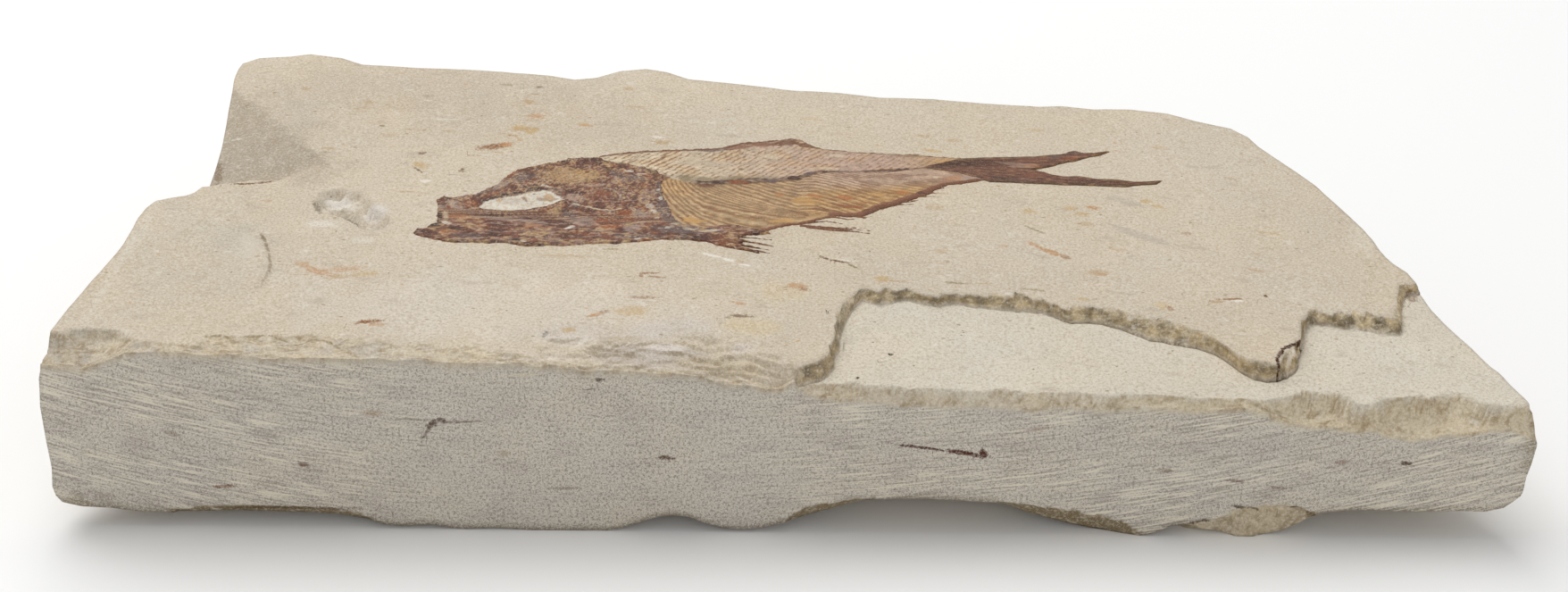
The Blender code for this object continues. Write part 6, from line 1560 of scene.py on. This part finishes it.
# %% Flank with the dorsal, pelvic and anal fins
def flank_shape(x, y):
    """Outline, lift and colour of the flank with the dorsal, pelvic and anal fins."""
    coarse, middle, fine = mottle(x, y, 1.8, 50)
    ragged = 0.6 * middle + 0.6 * fine
    inside = signed_distance(x, y, FLANK) + 0.22 * ragged
    for way, root, tip in BELLY_RAYS:
        inside = np.maximum(inside, -way_distance(x, y, way, root, tip) + 0.06 * fine)
    depth = read(BACKBONE, x) - y
    below = smooth(depth / 0.5)
    start = rib_start(x, depth)
    # towards the shoulder the ribs stand twice as close
    count = (start + np.minimum(start + 12.5, 0.0)) / RIB_PITCH
    wave = np.cos(2 * np.pi * (count + 0.22 * middle + 0.10 * coarse))
    half_wave = np.cos(4 * np.pi * (count + 0.2 + 0.12 * middle))
    rib = smooth((wave - 0.2 + 0.5 * fine) / 0.5)
    fine_rib = smooth((half_wave - 0.1 + 0.5 * fine) / 0.6)
    lower = plain(TONE["tan"], x)
    lower = layered(lower, TONE, [
        ("pink", smooth((x + 3) / 12) * smooth((7.0 - depth) / 4.0) * 0.85),
        ("gold", smooth((x + 2) / 8) * smooth((depth - 4.5) / 3.0) * 0.75),
        ("gold", smooth((-13.5 - x) / 3.0) * smooth((7.0 - depth) / 3.0) * 0.6)])
    strength = np.interp(x, (-19, -13, -6, 6, 14, 22), (0.8, 0.8, 0.78, 0.72, 0.55, 0.4))
    fine_strength = np.interp(x, (-19, -12, -6, 6, 22), (0.1, 0.25, 0.4, 0.4, 0.25))
    lower = layered(lower, TONE, [
        ("cream", (1 - rib) * (1 - fine_rib) * strength * 0.35),
        ("brown", fine_rib * fine_strength * (0.7 + 0.4 * coarse)),
        ("brown", rib * strength * (0.75 + 0.3 * coarse))])
    blotchy = smooth((rough(x / 2.0, y, 0.0, 1.6, 3, 75) - 0.02) / 0.2)
    lower = layered(lower, TONE, [
        ("brown", blotchy * smooth((x - 2.0) / 6.0) * 0.42),
        ("brown", blotchy * smooth((6.0 - x) / 4.0) * 0.2)])
    upper = plain(TONE["cream"], x)
    upper = layered(upper, TONE, [
        ("pink", smooth((x + 22) / 34) * 0.85 + 0.15), ("tan", smooth((x - 14) / 8) * 0.6)])
    slant = np.cos(2 * np.pi * ((x - 0.85 * (y - 56.0)) / 1.15 + 0.25 * middle))
    slant_strength = np.interp(x, (-20, -10, 10, 20), (0.7, 0.62, 0.55, 0.45))
    upright = np.cos(2 * np.pi * ((x - 0.15 * y) / 0.95 + 0.25 * middle))
    slant_mask = smooth((slant - 0.55 + 0.7 * fine + 0.5 * coarse) / 0.4)
    upright_mask = smooth((upright - 0.6 + 0.6 * fine) / 0.4)
    upright_mask = upright_mask * smooth((y - 59.6) / 1.5) * smooth((-0.5 - x) / 3.0)
    upper = layered(upper, TONE, [
        ("tan", smooth((coarse - 0.05) / 0.3) * 0.45), ("brown", slant_mask * slant_strength),
        ("brown", smooth((fine - 0.28) / 0.12) * 0.35),
        ("olive", upright_mask * smooth((x + 15.0) / 4.0) * 0.55)])
    colour = upper * (1 - below)[:, None] + lower * below[:, None]
    colour = colour * (1.0 + 0.16 * coarse + 0.2 * middle + 0.24 * fine)[:, None]
    spine = np.abs(depth) - 0.3 * coarse
    joint = np.cos(2 * np.pi * x / 1.25)
    width = np.interp(x, (-16, -8, 2, 6, 30), (0.95, 1.05, 0.85, 0.5, 0.5))
    spine_mask = smooth((width - spine) / 0.3) * smooth((x + 15.5) / 2.0)
    colour = paint(colour, TONE["moss"], smooth((1.3 - np.abs(depth + 0.8) + middle) / 0.6)
                   * smooth((-1.0 - x) / 3.0) * smooth((x + 17.0) / 2.0) * 0.5)
    colour = paint(colour, TONE["dark"], spine_mask * np.clip(0.72 + 0.12 * joint + 0.7 * middle, 0.2, 1.0))
    colour = blots(colour, x, y, FLANK_MARKS, ragged)
    colour = strokes(colour, x, y, FLANK_STROKES, ragged)
    rim = smooth((0.6 + 0.5 * middle + 0.35 * smooth((x - 4.0) / 5.0) * below - inside) / 0.5)
    colour = paint(colour, TONE["brown"], rim * 0.8)
    lift = 0.13 + 0.03 * coarse + 0.02 * fine + 0.05 * rib * strength * below
    lift = lift + 0.09 * spine_mask * (1 + 0.3 * joint) + 0.03 * slant_mask * (1 - below)
    hidden = signed_distance(x, y, SKULL)
    lift = np.where(hidden > 0.3, 0.04, lift)
    return inside, np.maximum(lift, 0.03), colour


print("flank over", np.ptp(np.array(FLANK), axis=0).round(1), "mm")

# %% [markdown]
# ## Tail fin
#
# The rays of the fin fan out from the end of the backbone. They are waves of one value that runs from
# 0 on the fin's middle to 1 on its edge.

# %% Tail fin
def tail_shape(x, y):
    """Outline, lift and colour of the tail fin."""
    coarse, middle, fine = mottle(x, y, 3.0, 60)
    ragged = 0.5 * middle + 0.5 * fine
    upper = signed_distance(x, y, UPPER_LOBE)
    lower = signed_distance(x, y, LOWER_LOBE)
    inside = np.maximum(upper, lower) + 0.16 * ragged
    top = np.interp(x, (20, 26, 34, 40, 49), (60.2, 63.0, 64.4, 65.6, 67.4))
    low = np.interp(x, (20, 26, 34, 44, 56), (58.8, 57.8, 56.0, 55.6, 58.2))
    above = (y - 60.4) / np.maximum(top - 60.4, 0.4)
    below = (60.4 - y) / np.maximum(60.4 - low, 0.4)
    across = np.where(y > 60.4, above, below)
    rays = np.cos(2 * np.pi * (across * 4.5 + 0.2 * middle))
    colour = plain(TONE["wine"] * 0.9, x)
    colour = layered(colour, TONE, [
        ("dark", smooth((rays - 0.2) / 0.8) * 0.5), ("lilac", smooth((-rays - 0.5) / 0.5) * 0.18)])
    colour = blots(colour, x, y, TAIL_MARKS, ragged)
    colour = strokes(colour, x, y, TAIL_STROKES, ragged)
    colour = layered(colour, TONE, [
        ("olive", smooth((0.4 - inside) / 0.4) * 0.6), ("tan", smooth((fine - 0.2) / 0.2) * 0.25)])
    colour = 0.86 * colour * (1.0 + 0.2 * coarse + 0.25 * middle + 0.25 * fine)[:, None]
    lift = 0.24 + 0.03 * rays + 0.04 * coarse
    return inside, lift, colour


print("tail lobes over", np.ptp(np.array(UPPER_LOBE + LOWER_LOBE), axis=0).round(1), "mm")

# %% [markdown]
# ## Finish of the fossil
#
# Fossil bone is darker and a little smoother than the stone around it. Its colours are kept on the
# mesh; the material only adds the finest grain and its relief.

# %% Bone material
bone_material, tree = new_material("fossil_bone")
surface = tree.nodes["Principled BSDF"]
surface.inputs["Roughness"].default_value = 0.62
surface.inputs["Specular IOR Level"].default_value = 0.3
tint_node = kept_colour(tree, "tint")
place = place_in_mm(tree)
fine = noise_at(tree, place, 6.0, 3.0)
colour = veils(tree, tint_node, [
    (fine, 0.45, 0.28, 0.45, (70, 46, 34)),
    (fine, 0.55, 0.72, 0.3, (222, 196, 168))])
tree.links.new(colour, surface.inputs["Base Color"])
bump = put(tree, "Bump", {"Strength": 0.6, "Distance": 0.0001, "Height": fine})
tree.links.new(bump.outputs["Normal"], surface.inputs["Normal"])

print("bone material of", len(tree.nodes), "nodes")

# %% The three pieces, between margins a little outside their outlines
SKULL_LOW = [(-54.6, 32), (-50, 30.4), (-36, 30), (-25, 31.4), (-14, 33), (-10, 31.6), (-1.6, 30.4)]
SKULL_HIGH = [(-54.6, 35.6), (-52.4, 45), (-49, 46), (-45.5, 48.6), (-42, 54.8), (-34, 58.9),
    (-28, 59.8), (-21, 57.2), (-17.4, 55), (-14.6, 41), (-8, 40.4), (-1.6, 38.4)]
FLANK_LOW = [(-29.6, 54.4), (-23.5, 52.6), (-22, 42), (-18.6, 36.6), (-5, 36), (-3, 36.8), (0, 38.4),
    (2, 38.2), (13, 37.2), (13.8, 43.4), (20, 46.6), (24, 50.6), (30.6, 54.8)]
FLANK_HIGH = [(-29.6, 60.4), (-26, 61.8), (-16, 64.1), (-9, 66.6), (-1, 69.2), (2.4, 68.8), (5.4, 66),
    (14, 65.1), (30.6, 64.6)]
TAIL_LOW = [(18.6, 58.2), (29, 54.4), (50, 54.6), (57.2, 57)]
TAIL_HIGH = [(18.6, 60.6), (26, 64), (38, 66), (43, 68), (50, 68.4), (51.5, 60), (57.2, 59.2)]
fish_piece("skull_and_shoulder", SKULL_LOW, SKULL_HIGH, 400, 220, skull_shape)
fish_piece("flank_and_fins", FLANK_LOW, FLANK_HIGH, 440, 205, flank_shape)
fish_piece("tail_fin", TAIL_LOW, TAIL_HIGH, 300, 110, tail_shape)

# %% [markdown]
# ## Stage
#
# The slab lies on a wide pale floor. A large soft light hangs over it, a weaker one fills the sawn
# face from the front, and the camera looks down at it by thirty degrees.

# %% Floor
def new_floor():
    """A wide flat square just under the stone."""
    size = 3.0
    mesh = bpy.data.meshes.new("floor")
    mesh.from_pydata([(-size, -size, 0), (size, -size, 0), (size, size, 0), (-size, size, 0)], [],
                     [(0, 1, 2, 3)])
    floor = bpy.data.objects.new("floor", mesh)
    bpy.context.scene.collection.objects.link(floor)
    material, floor_tree = new_material("pale_floor")
    matt = floor_tree.nodes["Principled BSDF"]
    matt.inputs["Base Color"].default_value = (0.97, 0.97, 0.965, 1)
    matt.inputs["Roughness"].default_value = 0.9
    mesh.materials.append(material)
    return floor


print("floor over", new_floor().dimensions[:2], "metres")

# %% Lights
def area_light(name, place, aim, size, power, colour=(1, 1, 1)):
    """A square soft light at a place, turned to face a point."""
    data = bpy.data.lights.new(name, "AREA")
    data.shape, data.size, data.energy, data.color = "SQUARE", size, power, colour
    light = bpy.data.objects.new(name, data)
    light.location = place
    direction = np.array(aim, float) - np.array(place, float)
    light.rotation_euler = Vector(direction).to_track_quat("-Z", "Y").to_euler()
    bpy.context.scene.collection.objects.link(light)


area_light("overhead", (-0.25, 0.35, 0.9), (0, 0, 0), 0.9, 7.3)
area_light("fill", (0.3, -1.2, 0.5), (0, 0, 0.01), 0.9, 2.4)
world = bpy.data.worlds.new("studio")
world.use_nodes = True
world.node_tree.nodes["Background"].inputs["Color"].default_value = (1, 1, 1, 1)
world.node_tree.nodes["Background"].inputs["Strength"].default_value = 0.45
bpy.context.scene.world = world
bpy.context.scene.view_settings.view_transform = "Standard"
print("a lamp overhead, one to fill, and a background of strength 0.45")

# %% Camera
FOCAL_SHARE = 3000.0 / 1756.0        # focal length over the width of the picture
PITCH, ROLL = math.radians(30.0), math.atan(0.01)
CAMERA_PLACE = (-0.8, -299.5, 210.1)


def new_camera():
    """A camera that looks down along +Y by the pitch, turned a little about its own axis."""
    data = bpy.data.cameras.new("camera")
    data.sensor_width = 36.0
    data.lens = 36.0 * FOCAL_SHARE
    camera = bpy.data.objects.new("camera", data)
    forward = np.array((0, math.cos(PITCH), -math.sin(PITCH)))
    level, down = np.array((1.0, 0, 0)), np.array((0, -math.sin(PITCH), -math.cos(PITCH)))
    right = math.cos(ROLL) * level - math.sin(ROLL) * down
    fall = math.sin(ROLL) * level + math.cos(ROLL) * down
    turn = Matrix(np.column_stack((right, -fall, -forward)).tolist()).to_4x4()
    camera.matrix_world = Matrix.Translation(to_metres([CAMERA_PLACE])[0]) @ turn
    bpy.context.scene.collection.objects.link(camera)
    bpy.context.scene.camera = camera


new_camera()
print("camera at", CAMERA_PLACE, "mm")
